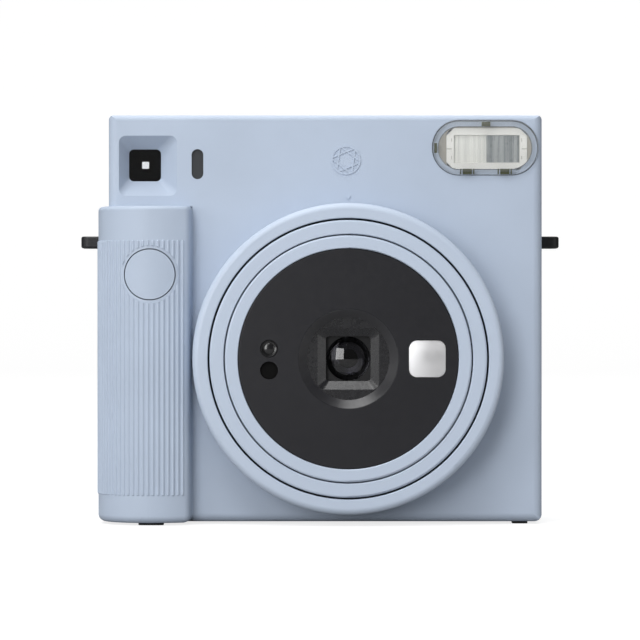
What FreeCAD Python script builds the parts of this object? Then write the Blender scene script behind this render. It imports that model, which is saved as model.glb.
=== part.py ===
import FreeCAD, Part
import math
import os
import Sketcher
from FreeCAD import Placement, Rotation, Vector

# A square-format instant camera with a twist-to-open telescopic lens.
# Millimetres. The lens faces -Y, the film leaves at the top (+Z), and the grip is on the -X side.
# The origin lies on the ground under the middle of the camera.

os.makedirs("parts", exist_ok=True)
doc = FreeCAD.newDocument("InstantCamera")
sheet = doc.addObject("Spreadsheet::Sheet", "Sheet")

# Driving dimensions: alias, value, what it is.
DIMENSIONS = (
    ("body_left", -62.0, "casing, left side"),
    ("body_right", 65.1, "casing, right side"),
    ("body_base", 0.75, "casing, underside"),
    ("body_top", 119.9, "casing, top"),
    ("front_y", -15.75, "front face of the casing"),
    ("seam_y", 2.5, "seam between the front and rear covers"),
    ("rear_y", 27.5, "rear face of the casing"),
    ("wall", 2.2, "casing wall"),
    ("edge_side", 2.6, "rounding of the upright edges"),
    ("edge_top", 1.5, "rounding of the top edges"),
    ("edge_base", 2.4, "rounding of the bottom edges"),
    ("lens_x", 8.2, "lens axis, across"),
    ("lens_z", 48.6, "lens axis, up"),
    ("dial_radius", 45.2, "twist dial, outside"),
    ("dial_front", -28.3, "twist dial, front edge"),
    ("dial_back", -16.0, "twist dial, back edge"),
    ("dial_mouth", 40.75, "twist dial, front opening radius"),
    ("sleeve_radius", 42.6, "cam sleeve, outside"),
    ("sleeve_bore", 40.75, "cam sleeve, bore"),
    ("sleeve_back", -2.5, "cam sleeve, rear end"),
    ("hole_radius", 43.2, "hole in the front cover for the cam sleeve"),
    ("outer_radius", 40.2, "outer barrel, outside"),
    ("outer_bore", 38.4, "outer barrel, bore"),
    ("outer_lip", 36.1, "outer barrel, front lip opening"),
    ("inner_radius", 35.75, "inner barrel, outside"),
    ("inner_bore", 34.2, "inner barrel, bore"),
    ("panel_radius", 31.9, "black front panel"),
    ("pin_radius", 1.2, "cam follower pins"),
    ("outer_pin_y", -6.1, "outer barrel pins, place along the axis"),
    ("inner_pin_y", -6.1, "inner barrel pins, place along the axis"),
    ("dial_turn", 50.0, "turn of the dial from off to open, degrees"),
    ("outer_travel", 9.0, "travel of the outer barrel"),
    ("inner_travel", 18.0, "travel of the inner barrel"),
    ("mirror_x", 22.85, "selfie mirror, from the lens axis"),
    ("mirror_side", 10.7, "selfie mirror, side"),
    ("sensor_x", -22.95, "light sensors, from the lens axis"),
    ("sensor_gap", 3.15, "light sensors, above and below the lens axis"),
    ("sensor_radius", 2.6, "light sensors, radius"),
    ("glass_radius", 6.45, "front lens, radius"),
    ("grip_top", 93.1, "grip, top"),
    ("grip_edge_x", -37.4, "grip, edge on the front face"),
    ("grip_crest_x", -49.6, "grip, foremost line"),
    ("grip_front", -24.75, "grip, foremost point"),
    ("grip_left", -65.3, "grip, left side"),
    ("grip_back", 18.0, "grip, rear end on the casing side"),
    ("grip_wall", 2.0, "grip cover wall"),
    ("grip_slope", 24.0, "grip, radius right of its crest"),
    ("grip_bow", 15.7, "grip, radius left of its crest"),
    ("grip_corner", 2.4, "grip, radius at its right edge"),
    ("rib_low", 8.73, "grip ribs, lower end"),
    ("rib_high", 83.1, "grip ribs, upper end"),
    ("rib_pitch", 1.48, "grip ribs, pitch"),
    ("rib_width", 1.0, "grip ribs, width"),
    ("rib_height", 0.3, "grip ribs, height"),
    ("button_x", -49.5, "shutter button, across"),
    ("button_z", 73.1, "shutter button, up"),
    ("button_radius", 7.26, "shutter button, radius"),
    ("button_gap", 0.3, "gap round the shutter button"),
    ("finder_x", -51.5, "viewfinder tunnel, across"),
    ("finder_z", 105.35, "viewfinder tunnel, up"),
    ("finder_side", 9.4, "viewfinder tunnel, inside"),
    ("finder_mouth_left", -58.9, "viewfinder funnel, left"),
    ("finder_mouth_right", -41.9, "viewfinder funnel, right"),
    ("finder_mouth_low", 96.2, "viewfinder funnel, bottom"),
    ("finder_mouth_high", 113.85, "viewfinder funnel, top"),
    ("finder_depth", 5.0, "viewfinder funnel, depth"),
    ("slot_x", -35.9, "oval sensor window, across"),
    ("slot_z", 105.5, "oval sensor window, up"),
    ("slot_width", 3.45, "oval sensor window, width"),
    ("slot_height", 8.8, "oval sensor window, height"),
    ("flash_x", 48.45, "flash window, across"),
    ("flash_z", 110.35, "flash window, up"),
    ("flash_width", 31.1, "flash window, width"),
    ("flash_height", 16.15, "flash window, height"),
    ("flash_front", -17.25, "flash window, front"),
    ("lug_tip", 71.0, "strap lugs, outermost"),
    ("lug_z", 82.9, "strap lugs, up"),
    ("lug_height", 3.5, "strap lugs, height"),
    ("lug_front", -2.5, "strap lugs, front edge"),
    ("lug_back", 7.5, "strap lugs, rear edge"),
    ("chamber_left", -32.4, "film chamber, left"),
    ("chamber_right", 48.6, "film chamber, right"),
    ("chamber_base", 5.4, "film chamber, bottom"),
    ("chamber_top", 102.2, "film chamber, top"),
    ("chamber_front", 5.5, "film chamber, front"),
    ("frame_wall", 2.0, "main frame wall"),
    ("gate_side", 63.0, "picture gate, side"),
    ("door_left", -34.0, "film door, left"),
    ("door_right", 55.0, "film door, right"),
    ("door_base", 4.2, "film door, bottom"),
    ("door_top", 103.2, "film door, top"),
    ("door_inner", 26.55, "film door, inner face"),
    ("door_outer", 28.75, "film door, outer face"),
    ("hinge_x", -36.5, "film door hinge, across"),
    ("hinge_y", 26.3, "film door hinge, depth"),
    ("hinge_radius", 2.4, "film door knuckles, radius"),
    ("hinge_recess", 3.2, "film door hinge recess, radius"),
    ("hinge_pin", 0.9, "film door pin, radius"),
    ("running_gap", 0.05, "running clearance on the radius"),
    ("roller_z", 109.0, "film rollers, up"),
    ("drive_y", 2.7, "drive roller, depth"),
    ("pressure_y", 10.7, "pressure roller, depth"),
    ("roller_radius", 3.9, "film rollers, radius"),
    ("shaft_radius", 1.5, "film roller shafts, radius"),
    ("motor_y", -5.0, "film motor, depth"),
    ("motor_z", 93.0, "film motor, up"),
    ("reduction_y", 6.12, "reduction gear, depth"),
    ("reduction_z", 97.5, "reduction gear, up"),
    ("gear_module", 0.6, "module of the film drive gears"),
    ("cell_radius", 7.8, "battery cell, radius"),
    ("cell_length", 27.0, "battery cell, length"),
    ("cell_x", -54.2, "battery cells, across"),
    ("cell_y", 2.5, "battery cells, depth"),
    ("lid_front", -7.25, "battery door, front edge"),
    ("lid_back", 12.6, "battery door, rear edge"),
    ("lid_low", 11.25, "battery door, bottom"),
    ("lid_high", 68.75, "battery door, top"),
    ("lid_hinge_x", -63.9, "battery door hinge, across"),
    ("lid_hinge_y", 14.2, "battery door hinge, depth"),
)


class Size:
    """A dimension that keeps both its value and the sheet expression that gives it."""

    def __init__(self, value, text):
        self.value = value
        self.text = text

    def __add__(self, other):
        other = size(other)
        return Size(self.value + other.value, f"({self.text} + {other.text})")

    def __sub__(self, other):
        other = size(other)
        return Size(self.value - other.value, f"({self.text} - {other.text})")

    def __mul__(self, factor):
        factor = size(factor)
        return Size(self.value * factor.value, f"({self.text} * {factor.text})")

    def __truediv__(self, divisor):
        divisor = size(divisor)
        return Size(self.value / divisor.value, f"({self.text} / {divisor.text})")

    def __radd__(self, other):
        return size(other) + self

    def __rsub__(self, other):
        return size(other) - self

    def __rmul__(self, other):
        return size(other) * self

    def __neg__(self):
        return size(0) - self


def size(number):
    """A plain number as a Size; a Size stays as it is."""
    if isinstance(number, Size):
        return number
    return Size(float(number), f"({float(number):.6f})")


class Dimensions:
    """Every driving dimension by its alias."""


d = Dimensions()
for row, (alias, number, note) in enumerate(DIMENSIONS, start=1):
    sheet.set(f"A{row}", note)
    sheet.set(f"B{row}", str(number))
    sheet.setAlias(f"B{row}", alias)
doc.recompute()
for alias, number, note in DIMENSIONS:
    setattr(d, alias, Size(float(sheet.get(alias)), "Sheet." + alias))

pieces = []
counts = {}


def fresh(name):
    """A name that no other object of the document has."""
    counts[name] = counts.get(name, 0) + 1
    return name if counts[name] == 1 else f"{name}_{counts[name]}"


def bind(item, prop, value):
    """Sets a property, and binds it to the sheet where it depends on a cell."""
    value = size(value)
    if "Sheet." in value.text:
        item.setExpression(prop, value.text)
    else:
        setattr(item, prop, value.value)


def place(item, point, rotation=None):
    """Puts an object's origin at a point, each coordinate bound where it depends on a cell."""
    point = [size(value) for value in point]
    item.Placement = Placement(Vector(*(p.value for p in point)), rotation or Rotation())
    for axis, value in zip("xyz", point):
        if "Sheet." in value.text:
            item.setExpression(f"Placement.Base.{axis}", value.text)
    return item


def box(low, high, name="block"):
    """A block between two corners."""
    item = doc.addObject("Part::Box", fresh(name))
    for prop, start, end in zip(("Length", "Width", "Height"), low, high):
        bind(item, prop, size(end) - size(start))
    return place(item, low)


TURNS = {
    "x": Rotation(Vector(0, 1, 0), 90),
    "y": Rotation(Vector(1, 0, 0), -90),
    "z": Rotation(),
}


def rod(radius, start, length, axis="y", name="rod"):
    """A cylinder from a start point along an axis."""
    item = doc.addObject("Part::Cylinder", fresh(name))
    bind(item, "Radius", radius)
    bind(item, "Height", length)
    return place(item, start, TURNS[axis])


def spoke(radius, angle, start, length, depth, name="spoke"):
    """A cylinder that points away from the lens axis, at an angle seen from the front."""
    item = doc.addObject("Part::Cylinder", fresh(name))
    bind(item, "Radius", radius)
    bind(item, "Height", length)
    across, up = math.cos(math.radians(angle)), math.sin(math.radians(angle))
    turn = Rotation(Vector(0, 0, 1), Vector(across, 0, up))
    return place(item, (d.lens_x + start * across, depth, d.lens_z + start * up), turn)


def combine(kind, parts, name):
    """A boolean of several objects: Part::MultiFuse, Part::MultiCommon or Part::Compound."""
    item = doc.addObject(kind, fresh(name))
    if kind == "Part::Compound":
        item.Links = parts
    else:
        item.Shapes = parts
    return item


def fuse(*parts, name="joined"):
    return combine("Part::MultiFuse", list(parts), name)


def common(*parts, name="shared"):
    return combine("Part::MultiCommon", list(parts), name)


def group(*parts, name="group"):
    return combine("Part::Compound", list(parts), name)


def cut(base, *tools, name="cut"):
    """The base without the tools."""
    item = doc.addObject("Part::Cut", fresh(name))
    item.Base = base
    item.Tool = tools[0] if len(tools) == 1 else fuse(*tools, name="tools")
    return item


def piece(item, name):
    """Registers a finished sub-part under its own name."""
    item.Label = name
    pieces.append(item)
    return item


def add_constraint(sketch, constraint, value=None):
    """Adds a constraint and binds its value to the sheet where it depends on a cell."""
    index = sketch.addConstraint(constraint)
    if value is not None and "Sheet." in value.text:
        sketch.setExpression(f"Constraints[{index}]", value.text)


def draw_circle(sketch, centre_u, centre_v, radius):
    """A circle in a sketch, held by its centre and radius."""
    u, v, r = size(centre_u), size(centre_v), size(radius)
    index = sketch.addGeometry(Part.Circle(Vector(u.value, v.value, 0), Vector(0, 0, 1), r.value), False)
    add_constraint(sketch, Sketcher.Constraint("DistanceX", -1, 1, index, 3, u.value), u)
    add_constraint(sketch, Sketcher.Constraint("DistanceY", -1, 1, index, 3, v.value), v)
    add_constraint(sketch, Sketcher.Constraint("Radius", index, r.value), r)


def rounded_corner(before, corner, after, radius):
    """The arc that rounds a corner: its centre, its start and its end."""
    back = (before - corner).normalize()
    ahead = (after - corner).normalize()
    half = back.getAngle(ahead) / 2
    reach = radius / math.tan(half)
    centre = corner + (back + ahead).normalize() * (radius / math.sin(half))
    return centre, corner + back * reach, corner + ahead * reach


def draw_outline(sketch, corners):
    """A closed outline through corners (u, v) or (u, v, radius), tied to the sheet."""
    points = [[size(value) for value in corner] for corner in corners]
    flat = [Vector(p[0].value, p[1].value, 0) for p in points]
    count = len(points)
    starts, ends, arcs = {}, {}, {}
    for i, point in enumerate(points):
        starts[i] = ends[i] = flat[i]
        if len(point) == 3 and point[2].value > 0:
            centre, ends[i], starts[i] = rounded_corner(flat[i - 1], flat[i], flat[(i + 1) % count],
                                                        point[2].value)
            arcs[i] = centre
    lines = [sketch.addGeometry(Part.LineSegment(starts[i], ends[(i + 1) % count]), False)
             for i in range(count)]
    for i, point in enumerate(points):
        into, out = lines[i - 1], lines[i]
        if i not in arcs:
            sketch.addConstraint(Sketcher.Constraint("Coincident", into, 2, out, 1))
            held, spot = out, 1
        else:
            centre, radius = arcs[i], point[2].value
            first, last = ends[i] - centre, starts[i] - centre
            middle = centre + (first + last).normalize() * radius
            arc = sketch.addGeometry(Part.Arc(ends[i], middle, starts[i]), False)
            at_start = sketch.getPoint(arc, 1).distanceToPoint(ends[i]) < 1e-6
            near, far = (1, 2) if at_start else (2, 1)
            held = sketch.addGeometry(Part.Point(flat[i]), True)
            spot = 1
            sketch.addConstraint(Sketcher.Constraint("Tangent", into, 2, arc, near))
            sketch.addConstraint(Sketcher.Constraint("Tangent", out, 1, arc, far))
            sketch.addConstraint(Sketcher.Constraint("PointOnObject", held, 1, into))
            sketch.addConstraint(Sketcher.Constraint("PointOnObject", held, 1, out))
            add_constraint(sketch, Sketcher.Constraint("Radius", arc, radius), point[2])
        u, v = point[0], point[1]
        add_constraint(sketch, Sketcher.Constraint("DistanceX", -1, 1, held, spot, u.value), u)
        add_constraint(sketch, Sketcher.Constraint("DistanceY", -1, 1, held, spot, v.value), v)


def new_body(name, plane, offset=0):
    """A body with one sketch on an origin plane, moved along the plane's normal."""
    body = doc.addObject("PartDesign::Body", fresh(name))
    sketch = body.newObject("Sketcher::SketchObject", fresh("outline"))
    support = [f for f in body.Origin.OriginFeatures if f.Role == plane + "_Plane"][0]
    sketch.AttachmentSupport = [(support, "")]
    sketch.MapMode = "FlatFace"
    offset = size(offset)
    sketch.AttachmentOffset = Placement(Vector(0, 0, offset.value), Rotation())
    if "Sheet." in offset.text:
        sketch.setExpression("AttachmentOffset.Base.z", offset.text)
    return body, sketch


def slab(plane, low, high, *outlines, circles=(), name="slab"):
    """Outlines on a plane, made solid from low to high along the plane's axis."""
    backwards = plane == "XZ"
    body, sketch = new_body(name, plane, -size(high) if backwards else low)
    for outline in outlines:
        draw_outline(sketch, outline)
    for circle in circles:
        draw_circle(sketch, *circle)
    pad = body.newObject("PartDesign::Pad", fresh("pad"))
    pad.Profile = sketch
    bind(pad, "Length", size(high) - size(low))
    return body


def turned(outline, x=None, z=None, name="turned"):
    """A profile of (radius, depth) corners turned about an axis parallel to Y."""
    body, sketch = new_body(name, "XY")
    draw_outline(sketch, outline)
    turn = body.newObject("PartDesign::Revolution", fresh("turn"))
    turn.Profile = sketch
    turn.ReferenceAxis = (sketch, ["V_Axis"])
    turn.Angle = 360
    return place(body, (d.lens_x if x is None else x, 0, d.lens_z if z is None else z))


def ring(outer, inner, front, back, name="ring"):
    """A plain tube round the lens axis."""
    return turned([(inner, front), (outer, front), (outer, back), (inner, back)], name=name)


def rectangle(left, right, low, high, radius=0):
    """The corners of a rectangle, rounded when a radius is given."""
    return [(left, low, radius), (right, low, radius), (right, high, radius), (left, high, radius)]


def centred(u, v, width, height, radius=0):
    """A rectangle about its centre."""
    return rectangle(u - size(width) / 2, u + size(width) / 2,
                     v - size(height) / 2, v + size(height) / 2, radius)


def funnel(x, z, front_side, back_side, front, back, round_front, round_back, name="funnel"):
    """A four-sided taper between two rounded squares that face forward."""
    body, first = new_body(name, "XZ", -size(front))
    draw_outline(first, centred(size(x), size(z), *front_side, round_front))
    second = body.newObject("Sketcher::SketchObject", fresh("outline"))
    support = [f for f in body.Origin.OriginFeatures if f.Role == "XZ_Plane"][0]
    second.AttachmentSupport = [(support, "")]
    second.MapMode = "FlatFace"
    bind_back = -size(back)
    second.AttachmentOffset = Placement(Vector(0, 0, bind_back.value), Rotation())
    if "Sheet." in bind_back.text:
        second.setExpression("AttachmentOffset.Base.z", bind_back.text)
    draw_outline(second, centred(size(back_side[0]), size(back_side[1]), *back_side[2:], round_back))
    loft = body.newObject("PartDesign::AdditiveLoft", fresh("loft"))
    loft.Profile = first
    loft.Sections = [second]
    loft.Ruled = True
    return body


# ---------------------------------------------------------------- casing

def casing_block(inset, name):
    """The casing's outer form, or the same form drawn in by an inset."""
    side, top, base = (max(r.value - inset.value, 0.4) for r in (d.edge_side, d.edge_top, d.edge_base))
    left, right = d.body_left + inset, d.body_right - inset
    low, high = d.body_base + inset, d.body_top - inset
    front, back = d.front_y + inset, d.rear_y - inset
    plan = slab("XY", low, high, rectangle(left, right, front, back, side), name="casing_plan")
    profile = [(front, low, base), (back, low, base), (back, high, top), (front, high, top)]
    flank = slab("YZ", left, right, profile, name="casing_flank")
    face = [(left, low, base), (right, low, base), (right, high, top), (left, high, top)]
    elevation = slab("XZ", front, back, face, name="casing_elevation")
    return common(plan, flank, elevation, name=name)


def everywhere(front, back, name="slice"):
    """A slice of space that holds the whole camera between two depths."""
    return box((-90, front, -5), (90, back, 130), name=name)


def grip_front_zone():
    """The part of the casing's front wall that the grip cover stands in for."""
    return box((d.body_left - 5, d.front_y - 12, d.body_base - 5),
               (d.grip_edge_x, d.front_y + d.wall, d.grip_top))


def grip_side_zone():
    """The part of the casing's side wall that the grip cover stands in for."""
    return box((d.body_left - 5, d.front_y - 12, d.body_base - 5),
               (d.body_left + d.wall, d.grip_back, d.grip_top))


BODY_SCREWS = ((-57.8, 115.6), (-57.8, 6.0), (60.0, 89.0), (59.5, 6.0))
FRAME_SCREWS = ((-28.5, 8.8), (44.8, 8.8), (-28.5, 98.6), (27.5, 98.6))
BODY_SCREW_SHANK = 0.9
FRAME_SCREW_SHANK = 1.0


def lug_notch(side):
    """The way through the casing wall for a strap lug."""
    low, high = (d.body_right - 5, d.body_right + 2) if side > 0 else (d.grip_left - 2, d.body_left + 5)
    half = d.lug_height / 2
    return box((low, d.lug_front, d.lug_z - half), (high, d.lug_back, d.lug_z + half))


def finder_funnel(grow, front, back):
    """The viewfinder's funnel, from its mouth to the tunnel."""
    width = d.finder_mouth_right - d.finder_mouth_left + grow
    height = d.finder_mouth_high - d.finder_mouth_low + grow
    x = (d.finder_mouth_right + d.finder_mouth_left) / 2
    z = (d.finder_mouth_high + d.finder_mouth_low) / 2
    throat = (d.finder_x, d.finder_z, d.finder_side + grow, d.finder_side + grow)
    return funnel(x, z, (width, height), throat, front, back, 2.0, 1.4, name="finder_funnel")


MARK_RISE = 0.25
MARK_ROOT = 0.3
EMBLEM = (7.6, 106.7, 4.3)


def iris_emblem(x, z, radius):
    """A raised six-bladed iris mark: a thin ring with a straight stroke for each blade edge."""
    front, back = d.front_y - MARK_RISE, d.front_y + MARK_ROOT
    parts = [slab("XZ", front, back, circles=[(x, z, radius), (x, z, radius - 0.45)], name="mark_ring")]
    reach = radius - 0.3
    for k in range(6):
        start = math.radians(60 * k)
        end = start + math.radians(105)
        foot = Vector(math.cos(start), 0, math.sin(start)) * reach
        tip = Vector(math.cos(end), 0, math.sin(end)) * reach
        stroke = doc.addObject("Part::Box", fresh("mark_stroke"))
        stroke.Length = (tip - foot).Length
        bind(stroke, "Width", back - front)
        stroke.Height = 0.4
        turn = Rotation(Vector(1, 0, 0), tip - foot)
        place(stroke, (x + foot.x, front, z + foot.z), turn)
        parts.append(stroke)
    return fuse(*parts, name="iris_mark")


def front_cover(outer, hollow, lip):
    """The front shell, with the dial hole, viewfinder funnel, windows, bosses and raised marks."""
    shell = cut(common(outer, everywhere(d.front_y - 1, d.seam_y - 0.15)), hollow, name="front_shell")
    funnel_back = d.front_y + d.finder_depth
    bosses = [finder_funnel(2.4, d.front_y + 1, funnel_back)]
    for x, z in BODY_SCREWS:
        bosses.append(rod(2.3, (x, d.front_y + d.wall, z), d.seam_y - 0.15 - d.front_y - d.wall,
                          name="boss"))
    for x, z in FRAME_SCREWS:
        bosses.append(rod(3.0, (x, d.front_y + 1, z), d.chamber_front - d.frame_wall - d.front_y - 1,
                          name="boss"))
    slot = centred(d.slot_x, d.slot_z, d.slot_width + 2, d.slot_height + 2, 2.6)
    bosses.append(slab("XZ", d.front_y + 1, d.front_y + 4, slot, name="slot_boss"))
    dial_top = d.lens_z + d.dial_radius
    index = [(d.lens_x - 0.9, dial_top + 2.5), (d.lens_x + 0.9, dial_top + 2.5), (d.lens_x, dial_top + 1.2)]
    marks = [slab("XZ", d.front_y - MARK_RISE, d.front_y + MARK_ROOT, index, name="index_mark"),
             iris_emblem(*EMBLEM)]
    solid = fuse(common(outer, fuse(shell, *bosses)), *marks, name="front_solid")
    tools = [grip_front_zone(), grip_side_zone()]
    tools.append(rod(d.hole_radius, (d.lens_x, d.front_y - 2, d.lens_z), 6, name="dial_hole"))
    tools.append(finder_funnel(0, d.front_y, funnel_back))
    tools.append(slab("XZ", d.front_y - 1, d.front_y + 5,
                      centred(d.slot_x, d.slot_z, d.slot_width, d.slot_height, d.slot_width / 2.02)))
    tools.append(slab("XZ", d.front_y - 2, d.front_y + d.wall + 0.3,
                      centred(d.flash_x, d.flash_z, d.flash_width + 0.2, d.flash_height + 0.2, 8.0)))
    tools += [lug_notch(1), lug_notch(-1), cut(common(lip, everywhere(d.seam_y - 2, d.seam_y)), hollow)]
    for x, z in BODY_SCREWS:
        tools.append(rod(BODY_SCREW_SHANK, (x, -8, z), 20, name="screw_hole"))
    for x, z in FRAME_SCREWS:
        tools.append(rod(FRAME_SCREW_SHANK, (x, -6, z), 12, name="screw_hole"))
    return piece(cut(solid, *tools, name="front_cover"), "front_cover")


def door_outline(grow):
    """The film door's outline, or the rabbet round it."""
    return rectangle(d.door_left - grow, d.door_right + grow, d.door_base - grow, d.door_top + grow, 2.5)


DOOR_KNUCKLES = ((16.3, 45.7), (62.3, 91.7))
CASE_KNUCKLES = ((4.2, 16.0), (46.0, 62.0), (92.0, 103.2))
EXIT_HALF = 37.5
EXIT_FRONT = 5.1
EXIT_BACK = 8.3


def rear_cover(outer, hollow, lip):
    """The rear shell, with the film door's opening, rabbet and hinge, and the film exit."""
    shell = cut(common(outer, everywhere(d.seam_y, d.rear_y + 1)), hollow)
    tongue_space = common(lip, everywhere(d.seam_y - 1.7, d.seam_y + 0.5))
    tongue = cut(tongue_space, hollow, name="seam_tongue")
    tongue = cut(tongue, grip_side_zone(), lug_notch(1), lug_notch(-1))
    bosses = []
    for x, z in BODY_SCREWS:
        bosses.append(rod(2.3, (x, d.seam_y, z), d.rear_y - 1 - d.seam_y, name="boss"))
    solid = fuse(common(outer, fuse(shell, *bosses)), tongue, name="rear_solid")
    tools = [grip_side_zone()]
    opening = rectangle(d.chamber_left, d.chamber_right, d.chamber_base, d.chamber_top)
    tools.append(slab("XZ", d.rear_y - 4, d.rear_y + 2, opening, name="door_opening"))
    tools.append(slab("XZ", d.door_inner - 0.45, d.rear_y + 2, door_outline(0.25), name="door_rabbet"))
    tools.append(rod(d.hinge_recess, (d.hinge_x, d.hinge_y, d.door_base - 0.25),
                     d.door_top - d.door_base + 0.5, "z", name="hinge_recess"))
    tools.append(box((d.lens_x - EXIT_HALF - 0.8, EXIT_FRONT - 0.8, 115), (d.lens_x + EXIT_HALF + 0.8,
                     EXIT_BACK + 0.8, 122), name="film_exit"))
    tools.append(slab("XZ", d.rear_y - 3, d.rear_y + 1, centred(d.finder_x, d.finder_z, 12.0, 12.0, 1.5)))
    tools += [lug_notch(1), lug_notch(-1)]
    tools.append(box((51.1, d.rear_y - 3, 47.5), (52.5, d.rear_y, 61.5), name="latch_slot"))
    for x, z in BODY_SCREWS:
        tools.append(rod(BODY_SCREW_SHANK, (x, 0, z), 30, name="screw_hole"))
        tools.append(rod(2.0, (x, d.rear_y - 1.6, z), 4, name="screw_head_hole"))
    body = cut(solid, *tools, name="rear_body")
    knuckles = []
    for low, high in CASE_KNUCKLES:
        knuckles.append(rod(d.hinge_radius, (d.hinge_x, d.hinge_y, low), high - low, "z", name="knuckle"))
        knuckles.append(box((d.hinge_x - 3.4, d.rear_y - 2.2, low), (d.hinge_x, d.rear_y - 0.3, high)))
    whole = fuse(body, *knuckles)
    pin_hole = rod(d.hinge_pin, (d.hinge_x, d.hinge_y, 0), 110, "z", name="pin_hole")
    return piece(cut(whole, pin_hole, name="rear_cover"), "rear_cover")


# ---------------------------------------------------------------- grip

def grip_points(inset):
    """Centres, angles and end points of the grip's outline, drawn in by an inset."""
    foot = Vector(d.grip_edge_x.value, d.front_y.value, 0)
    shoulder = Vector(foot.x - 0.6, foot.y - 5.25, 0)
    run = (shoulder - foot).normalize()
    outward = Vector(-run.y, run.x, 0)
    slope_centre = Vector(d.grip_crest_x.value, d.grip_front.value + d.grip_slope.value, 0)
    corner = d.grip_corner.value
    reach = d.grip_slope.value - corner
    lean = math.atan2(outward.y, outward.x)
    turn = math.acos((-corner - (slope_centre - foot).dot(outward)) / reach)
    aim = lean - turn
    corner_centre = slope_centre + Vector(math.cos(aim), math.sin(aim), 0) * reach
    bow_centre = Vector(d.grip_crest_x.value, d.grip_front.value + d.grip_bow.value, 0)
    return {
        "foot": foot - outward * inset,
        "run": run,
        "wall_end": corner_centre + outward * (corner - inset),
        "corner_centre": corner_centre,
        "corner": corner - inset,
        "corner_lean": lean,
        "slope_centre": slope_centre,
        "slope": d.grip_slope.value - inset,
        "slope_aim": aim,
        "bow_centre": bow_centre,
        "bow": d.grip_bow.value - inset,
        "left": d.grip_left.value + inset,
        "back": d.grip_back.value - inset,
    }


def polar(centre, radius, angle):
    return centre + Vector(math.cos(angle), math.sin(angle), 0) * radius


def grip_front_edges(p):
    """The curved front of the outline: the corner, the slope, the bow and the flat left side."""
    mid_corner = (p["corner_lean"] + p["slope_aim"]) / 2
    crest = -math.pi / 2
    corner_end = polar(p["corner_centre"], p["corner"], p["slope_aim"])
    slope_mid = polar(p["slope_centre"], p["slope"], (p["slope_aim"] + crest) / 2)
    crest_point = polar(p["slope_centre"], p["slope"], crest)
    bow_end = Vector(p["left"], p["bow_centre"].y, 0)
    return [
        Part.Arc(p["wall_end"], polar(p["corner_centre"], p["corner"], mid_corner), corner_end).toShape(),
        Part.Arc(corner_end, slope_mid, crest_point).toShape(),
        Part.Arc(crest_point, polar(p["bow_centre"], p["bow"], crest - math.pi / 4), bow_end).toShape(),
    ], bow_end


def prism(points_or_edges, low, high):
    """A solid between two heights above a closed outline."""
    face = Part.Face(Part.Wire(points_or_edges))
    face.translate(Vector(0, 0, low))
    return face.extrude(Vector(0, 0, high - low))


def lines(points):
    return [Part.makeLine(a, b) for a, b in zip(points, points[1:])]


def grip_block():
    """The grip's solid outer form without ribs, its top and bottom edges rounded."""
    p = grip_points(0)
    curved, bow_end = grip_front_edges(p)
    inner_x, inner_y = d.body_left.value + d.wall.value, d.front_y.value + d.wall.value
    turn = 2.6
    left_end = Vector(p["left"], p["back"] - turn, 0)
    bend_end = Vector(p["left"] + turn, p["back"], 0)
    bend_mid = Vector(p["left"] + turn * (1 - math.sqrt(0.5)), p["back"] - turn * (1 - math.sqrt(0.5)), 0)
    edges = lines([Vector(p["foot"].x, inner_y, 0), p["foot"], p["wall_end"]]) + curved
    edges += lines([bow_end, left_end])
    edges.append(Part.Arc(left_end, bend_mid, bend_end).toShape())
    edges += lines([bend_end, Vector(inner_x, p["back"], 0), Vector(inner_x, inner_y, 0),
                    Vector(p["foot"].x, inner_y, 0)])
    block = prism(edges, d.body_base.value, d.grip_top.value)
    for height, radius in ((d.grip_top.value, 1.2), (d.body_base.value, 2.0)):
        rim = []
        for edge in block.Edges:
            flat = all(abs(v.Z - height) < 1e-6 for v in edge.Vertexes)
            middle = edge.valueAt((edge.FirstParameter + edge.LastParameter) / 2)
            outside = middle.x < d.body_left.value - 0.5 or middle.y < d.front_y.value - 0.01
            if flat and outside:
                rim.append(edge)
        block = block.makeFillet(radius, rim)
    return block


def grip_hollow():
    """The space inside the grip cover, open towards the inside of the camera."""
    p = grip_points(d.grip_wall.value)
    curved, bow_end = grip_front_edges(p)
    past_y = d.front_y.value + d.wall.value + 1
    past_x = d.body_left.value + d.wall.value + 1
    start = p["foot"] - p["run"] * (past_y - p["foot"].y)
    edges = lines([start, p["wall_end"]]) + curved
    edges += lines([bow_end, Vector(p["left"], p["back"], 0), Vector(past_x, p["back"], 0),
                    Vector(past_x, past_y, 0), start])
    wall = d.grip_wall.value
    return prism(edges, d.body_base.value + wall, d.grip_top.value - wall)


def grip_path_point(p, distance):
    """The place and outward direction at a distance along the grip's front, from its right end."""
    slope_run = p["slope"] * (p["slope_aim"] + math.pi / 2)
    bow_run = p["bow"] * math.pi / 2
    if distance < slope_run:
        angle = p["slope_aim"] - distance / p["slope"]
        return polar(p["slope_centre"], p["slope"], angle), angle
    if distance < slope_run + bow_run:
        angle = -math.pi / 2 - (distance - slope_run) / p["bow"]
        return polar(p["bow_centre"], p["bow"], angle), angle
    return Vector(p["left"], p["bow_centre"].y + distance - slope_run - bow_run, 0), -math.pi


RIB_ROOT = 0.2
RIB_END = 0.35


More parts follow.
